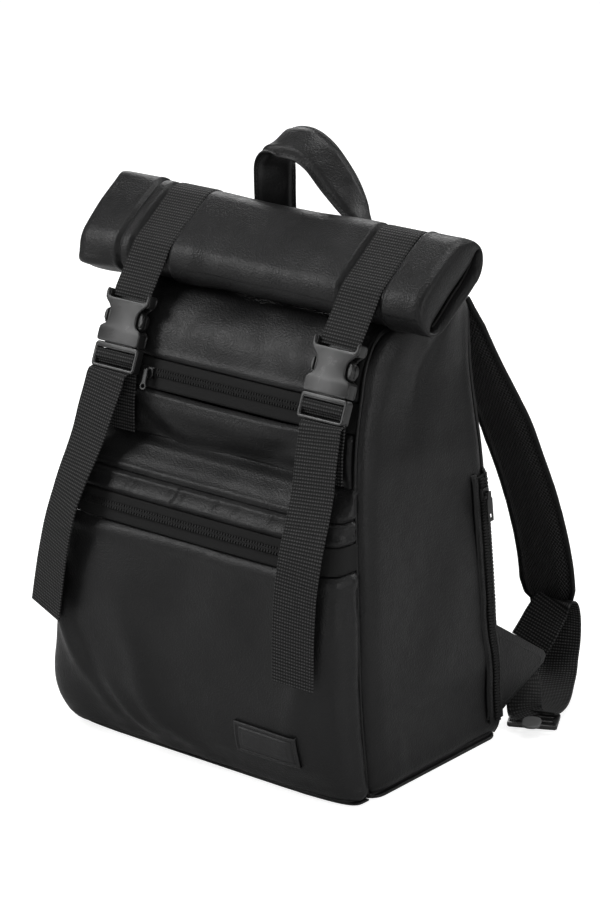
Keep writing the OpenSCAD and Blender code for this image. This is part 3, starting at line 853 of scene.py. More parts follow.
def front_wrinkles(wall):
    x, y, z = views(wall)
    h = .9 * noise(wall, (60, 300, 26), 11) + .5 * noise(wall, (26, 300, 14), 12)
    # a belly under the zip, a hollow below it and soft folds
    h = h + 4.4 * bell(x - 14, 72, 4) * bell(z - 277, 10)
    h = h - 4.2 * bell(z - 249, 9) * bell(x, 118, 6)
    # height, x at z, z, slope, width, middle z, extent in z
    for a, x0, z0, slope, width, mid, tall in (
            (-3.4, -74, 268, -1.0, 16, 266, 18), (1.5, -42, 262, -1.2, 14, 264, 16),
            (-1.8, 60, 262, 1.0, 15, 264, 16)):
        h = h + a * bell(x - x0 - (z - z0) * slope, width) * bell(z - mid, tall)
    return h


def front_walls():
    wall, u = front_grid(2.9, 286.6, 150, 130)
    x, y, z = views(wall)
    y += tuck(z, 14, 4)
    y -= front_wrinkles(wall) * ease((1 - np.abs(u)) / .08)
    wall = settle(wall, .01, step=8.0, amount=.6)
    wall = seamed(wall, -1, (1, 1.3, 1.1, 1.1), puff=.9, behind=4)
    tag(slab("front_wall_lower", wall, LEATHER, 2.0, -1), "front_panel_lower")

    wall, u = front_grid(308.4, FRONT_TOP, 90, 150)
    x, y, z = views(wall)
    h = .9 * noise(wall, (80, 300, 24), 21) + .5 * noise(wall, (30, 60, 16), 22)
    # soft pulls that run down from under the roll: x, slope, height
    for x0, slope, a in ((-88, -.35, 1.6), (-52, .5, -1.2), (-8, .1, 1.3), (34, -.6, -1.5),
                         (62, -.3, 1.7), (96, .2, 1.2)):
        h = h + a * bell(x - x0 - (z - 330) * slope, 11) * bell(z - 338, 20)
    y -= h * ease((1 - np.abs(u)) / .08) * interp(z, [308, 318, 352, 358], [.3, 1, 1, 0])
    wall[:64] = settle(wall[:64], .012, step=5.0, soft=13, amount=.6)
    wall = seamed(wall, -1, (1.3, 0, 1.1, 1.1), puff=.9, behind=4)
    tag(slab("front_wall_upper", wall, LEATHER, 2.0, -1), "front_panel_upper")


# ------------------------------------------------------------------ zips on the front
ZIP_TILT = math.radians(18)
ZIP_OUT = np.array([0, -math.cos(ZIP_TILT), math.sin(ZIP_TILT)])
ZIP_UP = np.array([0, math.sin(ZIP_TILT), math.cos(ZIP_TILT)])


def slider(zip_name, place, pull_outlines):
    """A zip slider and its pull, each on a body of its own."""
    body = zip_name + "_slider"
    plates = [
        ([rounded(9, 8.6, 2.6)], -2.0, 1.5, .45),
        ([rounded(9, 1.0, .4, 0, 3.9)], -.3, 2.6, .25),
        ([rounded(9, 1.0, .4, 0, -3.9)], -.3, 2.6, .25),
        ([rounded(2.6, 1.2, .5, 0, 2.3)], -3.6, 2.4, .3),
        ([rounded(2.6, 1.2, .5, 0, -2.3)], -3.6, 2.4, .3),
        ([rounded(2.8, 6.0, 1.0)], -4.7, .9, .3)]
    tag(moulded(body, plates, METAL, body, place), zip_name + "_zip_slider")
    pull = moulded(zip_name + "_pull_tab", [(pull_outlines, -5.6, 1.3, .4)], METAL,
                   zip_name + "_pull", place)
    tag(pull, zip_name + "_zip_pull")


def drop_pull(length):
    """A hanging pull that ends in a round eye."""
    eye = 3.2
    neck = -length + eye * .9
    outline = [(-1.9, 1.5), (-2.0, neck)]
    outline += [(eye * math.cos(a), -length + eye * math.sin(a))
                for a in np.linspace(math.radians(148), math.radians(392), 18)]
    outline += [(2.0, neck), (1.9, 1.5), (1.0, 2.2), (-1.0, 2.2)]
    turns = [2 * math.pi * k / 16 for k in range(16)]
    return [outline, [(1.6 * math.cos(a), -length + 1.6 * math.sin(a)) for a in turns]]


def front_zip():
    tape, _ = front_grid(286.8, 308.2, 14, 300)
    tape[..., 1] += .9
    tag(slab("front_zip_cloth", tape, TAPE, 1.2, -1, uv=tape[..., [0, 2]] * .001),
        "front_zip_tape")
    xs = np.linspace(-88, 104, 60)
    x, y, z = tape[7].T
    centre = np.stack([xs, interp(xs, x, y), interp(xs, x, z)], 1) + ZIP_OUT * .1
    chain("front_zip_chain", centre, X_AXIS, ZIP_OUT, 2.5, "front_zip_teeth")
    slider("front", place_at([-70, -81.53333, 298], X_AXIS, -ZIP_OUT, ZIP_UP), drop_pull(11))


# ------------------------------------------------------------------ front pocket
def pocket_rows(zs, cols, inset=0.0):
    """Level rows round the pocket, from its -x root to its +x root; normals point inward."""
    a = np.radians(np.linspace(0, 180, 1500))
    squareness = .4
    middle = 1 - np.clip((np.abs(np.cos(a)) - .45) / .55, 0, 1) ** 2
    out = []
    for z in zs:
        seam_x, seam_y = spline(FRONT, station(z))[:2]
        depth = spline(POCKET_DEPTH, interp(z, POCKET_Z, np.arange(len(POCKET_Z))))
        x = -np.sign(np.cos(a)) * np.abs(np.cos(a)) ** squareness * (seam_x - 3 - inset)
        y = (seam_y - 1.4 - (depth - inset) * np.abs(np.sin(a)) ** squareness
             - 4.0 * interp(z, [200, 246], [0, 1]) * middle)
        out.append(resample(np.stack([x, y, np.full_like(x, z)], 1), cols))
    return np.array(out)


def pocket_face():
    flat = pocket_rows(np.linspace(3.0, 188.2, 120), 200)
    inward = normals(flat)
    x, y, z = views(flat)
    h = (1.5 * noise(flat, (95, 95, 70), 31) + .8 * noise(flat, (42, 60, 34), 32)
         + .2 * noise(flat, 14, 33))
    # slack folds, most by the lower corners: x, z, direction in x and z, height, width
    for x0, z0, dx, dz, a, w in (
            (-112, 84, .52, -.85, 6.0, 8), (-93, 64, .6, -.8, -5.0, 9),
            (-128, 122, .3, -.95, 4.6, 9), (-66, 42, .75, -.66, 5.0, 10),
            (-46, 70, .35, -.93, 2.6, 11), (112, 90, -.3, -.95, 3.0, 11),
            (-20, 34, .8, -.6, 3.2, 11)):
        across = (x - x0) * dz - (z - z0) * dx
        along = (x - x0) * dx + (z - z0) * dz
        h = h + a * bell(across, w) * bell(along, 48)
    h = h * interp(z, [3, 22, 170, 188], [.15, 1, 1, .4])
    # a belly above the floor on the -x side
    col = np.arange(200)
    from_root = np.minimum(col, col[::-1])[None] / 26
    h = h + (10 * bell(z - 36, 36) * ease((-x - 92) / 40) * ease(from_root)
             * interp(z, [3, 14], [.3, 1]))
    face = flat - inward * h[..., None]
    curl = tuck(z, 15, 7)
    face[..., 1] += curl * np.clip(np.abs(inward[..., 1]), 0, 1)
    face[..., 0] -= np.sign(x) * curl * np.clip(np.abs(inward[..., 0]), 0, 1)
    face = settle(face, .012, step=7.0, gravity=.6, pressure=.5)
    face = seamed(face, -1, (1.2, 1.6, 1, 1), puff=2.0, behind=8, width=2.0)
    tag(slab("pocket_face", face, LEATHER, 1.8, -1), "pocket_front")
    return face


def pocket_zip():
    tape = pocket_rows(np.linspace(188.4, 208.6, 14), 420, .9)
    middle = tape[7]
    uv = np.stack([np.tile(arclen(middle), (14, 1)), tape[..., 2]], -1) * .001
    tag(slab("pocket_zip_cloth", tape, TAPE, 1.0, -1, uv=uv), "pocket_zip_tape")
    centre = middle[np.abs(middle[:, 0]) < 119] + ZIP_OUT * .1
    along = unit(np.gradient(centre, axis=0))
    out = unit(np.cross(along, ZIP_UP))
    out *= np.sign(-out[:, 1:2])
    chain("pocket_zip_chain", centre, along, out + [0, 0, .3], 2.6, "pocket_zip_teeth")


def pocket_top():
    """The band over the zip and the roof that runs back to the wall."""
    band = pocket_rows(np.linspace(208.8, 226.2, 26), 220)
    x, y, z = views(band)
    h = 1.0 * noise(band, (36, 60, 40), 41) + .2 * noise(band, (14, 40, 40), 42)
    # small slanted puckers: x, height
    for x0, a in ((-62, 1.5), (-20, -1.2), (-14, 1.8), (18, 1.2), (44, -1.0), (72, 1.2)):
        h = h + .6 * a * bell(x - x0 - .5 * (z - 217), 4.6)
    h = h * interp(z, [209, 213, 222, 226], [.3, 1, 1, .3])
    band = seamed(band - normals(band) * h[..., None], -1, (1.4, 1.2, 1, 1), puff=1.0, behind=4)
    tag(slab("pocket_brow", band, LEATHER, 1.6, -1), "pocket_band")

    roof = pocket_rows(np.linspace(226.4, 249.5, 34), 220)
    inward = normals(roof)
    x, y, z = views(roof)
    h = 1.2 * noise(roof, (55, 30, 30), 51) + .5 * noise(roof, (20, 18, 18), 52)
    h = h * interp(z, [226, 231, 243, 249], [.3, 1, 1, .2])
    y += 7.0 * ease((z - 243.5) / 7.0)
    roof = seamed(roof - inward * h[..., None], -1, (1.2, 0, 1, 1), puff=.8, behind=4)
    tag(slab("pocket_roof", roof, LEATHER, 1.5, -1), "pocket_top")
    slider("pocket", place_at([106, -121.96566, 198.6], X_AXIS, -ZIP_OUT, ZIP_UP),
           drop_pull(14))


def label_patch(pocket):
    """The leather label low on the +x half of the pocket's face, stitched round its rim."""
    mid_x, mid_z, half_w, half_h = 80, 44, 30, 13.2

    def on_pocket(x, z, lift):
        i = interp(z, pocket[:, 100, 2], np.arange(len(pocket)))
        i0 = int(np.clip(i, 0, len(pocket) - 2))
        f = i - i0
        row = pocket[i0] * (1 - f) + pocket[i0 + 1] * f
        return np.array([x, interp(x, row[30:-30, 0], row[30:-30, 1]) - lift, z])

    xs = np.linspace(mid_x - half_w, mid_x + half_w, 90)
    zs = np.linspace(mid_z - half_h, mid_z + half_h, 44)
    patch = np.array([[on_pocket(x, z, 2.9) for x in xs] for z in zs])
    edge = np.min(border(patch), axis=0)
    x, y, z = views(patch)
    y += 1.0 * np.exp(-edge / .7)                # rounded edge
    y += bell(edge - 3.6, .8) * 1.1              # pressed frame
    panel = ease((6.2 - np.abs(z - mid_z)) / .8) * ease((22 - np.abs(x - mid_x)) / .8)
    y -= .35 * panel + .12 * noise(patch, 3.0, 9) * panel
    tag(slab("label_leather", patch, LABEL, 2.7, -1), "label_patch")
    rim = rounded(55.5, 22.5, 1.6, mid_x, mid_z, seg=5)
    path = [on_pocket(x, z, 2.75) for x, z in resample(rim + rim[:1], step=1.0)]
    tilt = math.radians(103.7)
    stitches("label_stitches", resample(path, step=.8), [0, -math.sin(tilt), math.cos(tilt)],
             pitch=2.4, length=1.7, radius=.24)


# ------------------------------------------------------------------ back wall, yoke, floor
def back_grid(bottom, top, rows, cols, inset=4.0, half=None):
    """A band of the back wall, to the seams less an inset or to a given half width."""
    level, u = mesh(np.linspace(station(bottom, BACK), station(top, BACK), rows),
                    np.linspace(-1, 1, cols))
    wall = spline(BACK, level)
    x = wall[..., 0]
    x[:] = u * (x - interp(level, [0, 7, 9], [1, 1, 0]) * inset if half is None else half)
    return wall, u


def back_panels():
    wall, u = back_grid(2.9, BACK_TOP, 160, 120)
    x, y, z = views(wall)
    y -= tuck(z, 14, 4)
    y += ((1.2 * noise(wall, (90, 300, 80), 61) + .4 * noise(wall, (30, 300, 30), 62))
          * ease((1 - np.abs(u)) / .1))
    wall = seamed(wall, 1, (1, 0, 1, 1), puff=.7, behind=5)
    tag(slab("back_wall", wall, LEATHER, 2.2), "back_panel")

    # padded mesh panel with two upright quilting grooves
    pad, u = back_grid(34, 318, 130, 110, half=112)
    x, y, z = views(pad)
    y += 1.2
    edge = np.min(border(pad), axis=0)
    groove = bell(np.abs(x) - 36, 4.5)
    y += 3.2 * ease(edge / 12) - 2.2 * groove * ease(edge / 12) + .25 * noise(pad, 18, 64)
    tag(slab("back_mesh", pad, MESH, 2.4, uv=pad[..., [0, 2]] * .001))

    yoke, u = back_grid(324, 353.5, 26, 120, inset=6)
    yoke[..., 1] += 2.2
    yoke[..., 1] += .4 * noise(yoke, (26, 300, 14), 65)
    sewn = seamed(yoke, 1, (1.3, 1.2, 1, 1), puff=.6, behind=4)
    tag(slab("yoke_leather", sewn, LEATHER, 1.8), "strap_yoke")
    for z in (328.0, 349.5):
        row = int(np.argmin(np.abs(yoke[:, 60, 2] - z)))
        stitches("yoke_stitches_%d" % int(z), yoke[row][3:-3], [0, 1, .1], pitch=3.4)


def floors():
    def lying(height):
        return place_at([0, 0, height], X_AXIS, [0, 0, 1], [0, 1, 0])

    base = moulded("floor_leather", [([rounded(295, 164, 14, 0, 2.5)], 0, 2.4, .8)], LEATHER,
                   "bag", lying(1.2))
    tag(base, "base_panel")
    outline = [(x, y) for x, y, z in pocket_rows([3.2], 120)[0] if y < -79]
    base = moulded("pocket_floor_leather", [([outline], 0, 1.7, .5)], LEATHER, "bag",
                   lying(1.7))
    tag(base, "pocket_floor")


def piping():
    # half of the floor seam, from the front along the +x side to the middle of the back: x, y
    base = [(142.3, -79.5), (142.8, -39.5), (142.8, .5), (142.8, 50.5), (142.3, 72.5),
            (137, 83), (120, 84.5), (60, 84.5), (0, 84.5)]
    for side, m in SIDES:
        path = smooth_path([[m * x, y, 3.6] for x, y in base], 8)
        tag(tube("piping_base_" + side, path, 2.3, PIPING, wobble=.08))
    path = pocket_rows([5.0], 160)[0]
    path[:, 2] = 3.4
    path[:, :2] -= unit(path[:, :2] - [0, -80]) * 5.5
    tag(tube("piping_pocket", path, 2.2, PIPING, wobble=.08))
    # the four upright seams
    for side, m in SIDES:
        path = spline(FRONT, np.linspace(station(3), 8.3, 140)) + [-6.2, .8, 0]
        tag(tube("piping_front_" + side, path * [m, 1, 1], 1.5, PIPING, wobble=.1))
        path = spline(BACK, np.linspace(station(3, BACK), 8.3, 140))
        curl = tuck(path[:, 2])
        path[:, 0] -= 2.6 + curl
        path[:, 1] -= .6 + curl
        tag(tube("piping_back_" + side, path * [m, 1, 1], 1.7, PIPING, wobble=.1))


# ------------------------------------------------------------------ side zip
def side_zip():
    """A zip that rises up the +x wall, leaning forward, with folded leather edges."""
    foot, head = np.array([148.3, 76, 16.0]), np.array([146.3, 51, 226.0])
    up = unit(head - foot)
    length = float(np.linalg.norm(head - foot))
    out = unit(np.array(X_AXIS) - up * up[0])
    back = np.cross(up, out)

    def at(height, across, proud):
        height, across, proud = (np.asarray(q, float)[..., None]
                                 for q in (height, across, proud))
        return foot + up * height + back * across + out * proud

    heights = np.linspace(0, length, 120)
    across = np.linspace(-8.4, 8.4, 22)
    wave = 2.3 * np.sin((heights - 20) / 16) * bell(heights - 62, 34)
    tape = at(heights[:, None], across + wave[:, None], 1.5)
    tape = tape + out * (.35 * noise(tape, (50, 12, 16), 71))[..., None]
    uv = pairs(heights, across)[..., ::-1] * .001
    tag(slab("side_zip_cloth", tape, TAPE, 1.2, -1, uv=uv), "side_zip_tape")
    chain("side_zip_chain", at(heights, wave, 2.1), up, out, 2.6, "side_zip_teeth")
    # section of a folded edge: distance from the teeth, height off the wall
    fold_at, fold_up = np.array([
        (4.5, 1.5), (4.7, 2.3), (5.3, 2.7), (6.1, 2.6), (7.1, 2.2), (8.1, 1.5), (8.9, .7),
        (9.5, -.3)]).T
    edge_heights = np.linspace(3, length + 3, 130)
    edge_wave = interp(edge_heights, heights, wave)
    for name, m in (("front", -1), ("back", 1)):
        edge = at(edge_heights[:, None], m * fold_at + edge_wave[:, None], fold_up)
        edge = edge + out * (.3 * noise(edge, (50, 14, 14), 73))[..., None]
        # both ends dive into the wall
        dive = (2.4 * np.exp(-(edge_heights - 3) / 2.5)
                + 2.4 * np.exp((edge_heights - length - 3) / 2.5))
        edge = edge - out * dive[:, None, None]
        tag(slab("side_zip_edge_" + name, edge, SHADED_SIDE_LEATHER, 1.3, -m))
        inner = slice(4, -4)
        stitches("side_zip_stitches_" + name,
                 at(edge_heights[inner], m * 7.3 + edge_wave[inner], 2.3), out)
    outline = [(2.0, 2.2), (-3, 2.2), (-4, 3.4), (-23, 3.4)]
    outline += [(x, -z) for x, z in outline[::-1]]
    hole = [(-16.5, 1.7), (-20, 1.7), (-20, -1.7), (-16.5, -1.7)]
    slider("side", place_at(foot + up * (length - 14) + out * 2.7, up, -out, -back),
           [outline, hole])


# ------------------------------------------------------------------ roll
ROLL_AXIS = unit(ROLL_HIGH - ROLL_LOW)
ROLL_ANGLE = math.degrees(math.atan2(ROLL_AXIS[1], ROLL_AXIS[0]))
# The slit that the outer turn closes onto at each end: y, z.
SLIT = smooth_path([[-31, 362], [-20, 369.5], [-6, 381], [8, 391.5], [18, 402], [20, 412]])
# From the body of the roll round its end and into the slit: share closed, x from the tip.
END_TURN = [(0, -11), (0, -8.0), (.012, -5.4), (.03, -3.2), (.065, -1.5), (.13, -.4), (.25, 0),
            (.40, -.1), (.57, -.8), (.73, -2.4), (.84, -5.0), (.92, -8.2), (.96, -12),
            (.985, -17)]
# Slanted folds on the roll: x, slope, height, width.
ROLL_FOLDS = [(72, .22, 2.0, 6), (142, -.25, 1.4, 7), (-60, .18, 2.0, 7), (-138, -.2, 1.3, 7),
              (20, -.35, 1.8, 10), (-15, .3, 1.8, 9), (52, -.1, 1.2, 6), (-36, -.5, -1.4, 8),
              (38, .4, -1.3, 8)]


def rolled_mouth():
    # the outline of the flattened roll, anticlockwise from under the back
    ring = np.concatenate([
        arc(ROLL_HIGH, ROLL_RADIUS, ROLL_ANGLE - 90, ROLL_ANGLE + 90, 60),
        arc(ROLL_LOW, ROLL_RADIUS, ROLL_ANGLE + 90, ROLL_ANGLE + 270, 60)])
    ring = resample(np.concatenate([ring, ring[:1]]), 281)[:-1]
    tangent = unit(np.roll(ring, -1, 0) - np.roll(ring, 1, 0))
    out = np.stack([tangent[:, 1], -tangent[:, 0]], 1)
    round_length = np.arange(len(ring)) * np.linalg.norm(ring[1] - ring[0])
    angle = np.degrees(np.arctan2(out[:, 1], out[:, 0])) - ROLL_ANGLE

    def off(degrees):
        return (angle - degrees + 180) % 360 - 180

    # corners that the folded layers push out
    corner = 1.5 * bell(off(138), 22) + 1.5 * bell(off(225), 20) + 1.0 * bell(off(50), 22)
    along = (ring - ROLL_LOW) @ ROLL_AXIS
    tau = (along - along.min()) / (along.max() - along.min())
    lengths = arclen(SLIT)
    slit = at_length(SLIT, lengths / lengths[-1], tau)
    closed, tip = spline(END_TURN, np.linspace(0, len(END_TURN) - 1, 34)).T
    xs = np.concatenate([-165 - tip[::-1], np.linspace(-153.4, 153.4, 270), 165 + tip])
    f = np.concatenate([closed[::-1], np.zeros(270), closed])[:, None]
    x, s = mesh(xs, round_length)
    sheet = np.stack([x, s, 0 * x], -1)
    h = (1.7 * noise(sheet, (84, 70, 9), 81) + .5 * noise(sheet, (36, 34, 9), 82)
         + .12 * noise(sheet, (14, 16, 9), 83))
    for x0, slope, a, w in ROLL_FOLDS:
        h = h + .55 * a * bell(x - x0 - slope * (s - 100), w * 1.5) * bell(s - 100, 44)
    from_mid = np.abs(x)
    bulge = 4 * tau * (1 - tau) * np.where(np.abs(off(90)) < 60, 3.4, .8)
    h = np.clip(h, -2.4, 2.4) + .35 * corner * ease((from_mid - 110) / 25) + bulge
    # the straps bear on the roll
    pressed = sum(ease((22.5 - np.abs(x - at)) / 5.0) for at in STRAP_X.values())
    h = (h + .3) * (1 - .8 * pressed) - 1.0 * pressed
    # a step and a groove near each end
    h = (h + 1.0 * ease(from_mid - 128.2) - 1.7 * bell(from_mid - 127.6, 1.0)
         + .5 * bell(from_mid - 131, 1.6))
    yz = (ring + out * h[..., None]) * (1 - f[..., None]) + slit * f[..., None]
    roll_x = x + 1.2 * noise(sheet, (9999, 40, 9), 87) * (f > 0) * ease(f / .1)
    # the left end is fuller, drawn out and hangs lower
    left = ease((-x - 118) / 42)
    push = 2.2 * bell(off(60), 17) + 4.5 * bell(off(168), 18)
    yz = yz + out * (push * left)[..., None] * (1 - f[..., None])
    roll_x = roll_x - (3.5 + 8.5 * tau) * left
    yz = yz - np.array([0, 4.0]) * (tau * left)[..., None]
    yz = yz + (yz - ROLL_MID) * .05 * left[..., None]
    roll = loft("rolled_mouth", np.concatenate([roll_x[..., None], yz], -1), LEATHER_ROLL,
                "roll")
    tag(roll, "roll_wrap")


def inner_turn():
    """The inner turns, seen as a fold inside each end's slit."""
    tangent = unit(np.gradient(SLIT, axis=0))
    out = np.stack([-tangent[:, 1], tangent[:, 0]], 1)
    core = (SLIT + out * 1.5)[4:-4]
    ends = np.array([157.5, 158.6, 159])
    xs = np.concatenate([-ends[::-1], np.linspace(-155, 155, 90), ends])
    x, y = mesh(xs, core[:, 0])
    sheet = np.stack([x, y, np.broadcast_to(core[:, 1], x.shape)], -1)
    sheet[..., 1:] += (.5 * noise(sheet, (30, 12, 12), 88))[..., None] * .5
    tag(slab("roll_inner_turn", sheet, SHADED_INNER_LEATHER, 2.2, 1, "roll"),
        "roll_core")


# ------------------------------------------------------------------ closure straps and buckles
BUCKLE_TILT = math.radians(-22.2)
BUCKLE = np.array([-84, 315.5])                  # y, z where plug and housing meet
BUCKLE_Y = np.array([0, math.cos(BUCKLE_TILT), math.sin(BUCKLE_TILT)])
BUCKLE_Z = np.array([0, -math.sin(BUCKLE_TILT), math.cos(BUCKLE_TILT)])
BUCKLE_STRETCH = .945                            # scale of the buckle's width


def from_buckle(out, up):
    """The y, z of a point out mm in front of the buckle's middle plane and up mm along it."""
    return BUCKLE + up * BUCKLE_Z[1:] - out * BUCKLE_Y[1:]


def at_x(path, x):
    """A y-z path set at x."""
    path = np.asarray(path, float)
    return np.stack([x + np.zeros(len(path)), path[:, 0], path[:, 1]], 1)


def over_roll():
    """The strap's path from the back wall over the roll and down to the buckle: y, z."""
    radius = ROLL_RADIUS + .4 + .9
    reach = from_buckle(0, 41.8) - ROLL_LOW
    leave = math.degrees(math.atan2(reach[1], reach[0])
                         - math.acos(radius / np.linalg.norm(reach)))
    rise = [[58.3, 349], [58.6, 355], [55.0, 361.8], [47.5, 372.6], [38.8, 382.8],
            [30.5, 391.2], [26.2, 396.4]]
    return np.concatenate([
        rise, arc(ROLL_HIGH, radius, -8, ROLL_ANGLE + 90, 22),
        arc(ROLL_LOW, radius, ROLL_ANGLE + 90, 360 + leave, 26),
        [from_buckle(0, 43.5), from_buckle(0, 36.4)]])


# Half outlines of the housing's front and back plates, from the mouth to the bar: x, z.
HOUSING_SIDE = [
    (0, 0), (19.5, 0), (21.4, .7), (22, 2.4), (22, 9.2), (21.5, 11.2), (19.4, 12.7),
    (16.6, 14.3), (14.9, 16.8), (14.2, 20), (14.3, 23.2), (15.3, 26.2), (17.6, 29),
    (20.6, 31.4), (22.5, 33.6), (23, 36), (23, 39.4)]
HOUSING_FRONT = HOUSING_SIDE + [(22.2, 41.2), (20.9, 41.3), (20.1, 39.8), (19.8, 36.9),
                                (18.8, 35.4), (17, 35), (0, 35)]
HOUSING_BACK = HOUSING_SIDE + [(22.2, 40.6), (20.6, 41.2), (0, 41.2)]
RAIL = [(17.4, .4), (21.6, .4), (21.6, 10.6), (19, 12.6), (17.4, 12.6)]
PRONG = [(-3.4, -1), (3.4, -1), (3.4, 22), (2.2, 26), (0, 27.2), (-2.2, 26), (-3.4, 22)]
# A spring arm, the thicker pad at its end and the raised grip on the pad's edge.
ARM = [(11.2, .4), (14.4, .4), (14.6, 12.4), (17.6, 13.2), (19.9, 15.2), (20.7, 18.2),
       (20.6, 22.5), (19.4, 25.6), (16.6, 28.0), (14.4, 29.0), (12.4, 28.9), (11.3, 27.4)]
ARM_PAD = [(15.2, 15.0), (19.6, 14.6), (20.7, 18.2), (20.6, 22.5), (19.4, 25.6), (15.2, 27.2)]
ARM_GRIP = [(17.4, 15.6), (19.2, 15.9), (20.5, 18.0), (20.8, 20.5), (20.4, 23.4),
            (19.0, 25.4), (17.4, 25.8)]


def whole(half):
    return half[1:] + [(-x, z) for x, z in half[::-1] if x > 0]


def buckle(side):
    x = STRAP_X[side]
    place = place_at([x, *BUCKLE], [BUCKLE_STRETCH, 0, 0], BUCKLE_Y, BUCKLE_Z)
    plates = [
        ([whole(HOUSING_FRONT)], -4.4, 2.3, 1.0),
        ([whole(HOUSING_BACK)], 4.4, 2.3, 1.0),
        ([RAIL], 0, 7.4, .4),
        ([flipped(RAIL)], 0, 7.4, .4),
        ([rounded(42, 3.4, .9, 0, 33.0)], -2.6, 2.6, .5),
        ([rounded(42, 3.4, .9, 0, 33.0)], 2.6, 2.6, .5),
        ([rounded(3.2, 9.5, 1.2, 21.2, 36.4)], 0, 7.6, .6),
        ([rounded(3.2, 9.5, 1.2, -21.2, 36.4)], 0, 7.6, .6)]
    tag(moulded("housing_" + side, plates, PLASTIC, "roll", place),
        "buckle_housing_" + side)
    plates = [
        ([rounded(46, 20, 3.2, 0, -10.4), rounded(39.4, 13.4, .8, 0, -10.9, 3)], 0, 8.0, 1.1),
        ([rounded(41, 2.9, 1.0, 0, -10.0)], 1.1, 4.4, .8),
        ([rounded(41, 2.6, .8, 0, -3.6)], 0, 7.4, .8),
        ([PRONG], 0, 5.0, .8),
        ([rounded(30, 2.6, .8, 0, .1)], 0, 5.6, .7)]
    tag(moulded("plug_" + side, plates, PLASTIC, "plug_" + side, place),
        "buckle_plug_" + side)
    for m in (1, -1):
        arm = "arm_%s_%s" % (side, "outer" if m * x > 0 else "inner")
        plates = [([flipped(ARM, m)], 0, 5.4, 1.0), ([flipped(ARM_PAD, m)], 0, 6.3, .6),
                  ([flipped(ARM_GRIP, m)], 0, 8.8, .9)]
        plates += [([rounded(.9, 9, .4, m * (20.6 - .8 * abs(q)), 20.2)], q * 2.4, .8, .25)
                   for q in (-1, 0, 1)]
        tag(moulded(arm, plates, PLASTIC, arm, place), "buckle_" + arm)


def closure(side, phase, tail_shift, tail_twist, tail_lie):
    """A strap over the roll, its buckle, and the webbing below the plug.

    phase sets the strap's sideways drift; the tail's x shift, twist and y offset are given at
    three heights each.
    """
    x = STRAP_X[side]
    path = over_roll()
    lengths = arclen(path)
    end = lengths[-1]
    drift = (1.5 * np.sin(lengths / end * 2.2 + phase)
             * interp(lengths, [0, 40, end - 30, end], [.3, 1, .6, 0]))
    strap = ribbon("closure_webbing_" + side, at_x(path, x + drift), X_AXIS, 37, WEB, None)
    tag(strap, "closure_strap_" + side)
    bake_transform(strap)
    buckle(side)

    # webbing round the plug's bar
    wrap = [from_buckle(*q) for q in (
        (-2.9, -16.4), (-2.9, -12), (-2.6, -8.6), (-1.2, -6.4), (1.0, -6.0), (3.0, -7.2),
        (3.5, -9.6), (2.9, -12.0), (.8, -13.6), (-.6, -16))]
    tag(ribbon("plug_wrap_" + side, at_x(smooth_path(wrap, 8), x), X_AXIS, 38, WEB,
               "plug_" + side))
    # the tail that hangs down over the pocket
    tail = np.array([
        from_buckle(-1.2, -17.5), from_buckle(2.4, -21.2), from_buckle(5.0, -24.6),
        [-101.6, 284], [-107.2, 268], [-112.6, 250], [-119.5, 234], [-127, 219],
        [-133.2, 201], [-137.0, 178], [-138.2, 150], [-137.6, 125], [-136.6, 104]])
    shift = interp(tail[:, 1], [100, 210, 300], tail_shift)
    path = smooth_path(at_x(tail, x + shift), 10)
    z = path[:, 2]
    path[:, 1] += interp(z, [100, 150, 200], tail_lie)
    twist = interp(z, [100, 200, 290], tail_twist)
    across = unit(np.stack([np.ones(len(z)), twist, np.zeros(len(z))], 1))
    tag(ribbon("webbing_tail_" + side, path, across, 38, WEB, "tail_" + side),
        "strap_tail_" + side)
    # the webbing that holds the plug to the front wall
    anchor = [[-90.4, 250], [-90.4, 262], [-90.0, 276], [-88.2, 288], from_buckle(-3.4, -17),
              from_buckle(-3.2, -14)]
    strap = ribbon("anchor_webbing_" + side, at_x(smooth_path(anchor, 8), x), X_AXIS, 38, WEB,
                   None)
    tag(strap, "strap_anchor_" + side)
    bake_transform(strap)


# ------------------------------------------------------------------ top handle
# Centre line x, y, z and width direction x, y, z, from the -x root over to the +x root.
HANDLE = np.array([
    (-44, 41, 379, .777, .63, 0), (-44.3, 40, 396, .777, .63, 0),
    (-44.3, 38.5, 414, .777, .63, 0), (-44.3, 38, 432, .74, .67, .06),
    (-43.6, 38, 447, .55, .78, .3), (-36, 38, 460.5, .2, .8, .57),
    (-17, 38, 463, 0, .77, .64), (0, 38, 456, .02, .8, .6), (16, 38, 441, .12, .86, .5),
    (30, 38, 425, -.02, .96, .3), (39.5, 38, 411, -.3, .94, .16),
    (45, 38.5, 397, -.52, .85, .05), (46, 40, 379, -.62, .78, 0)], float)


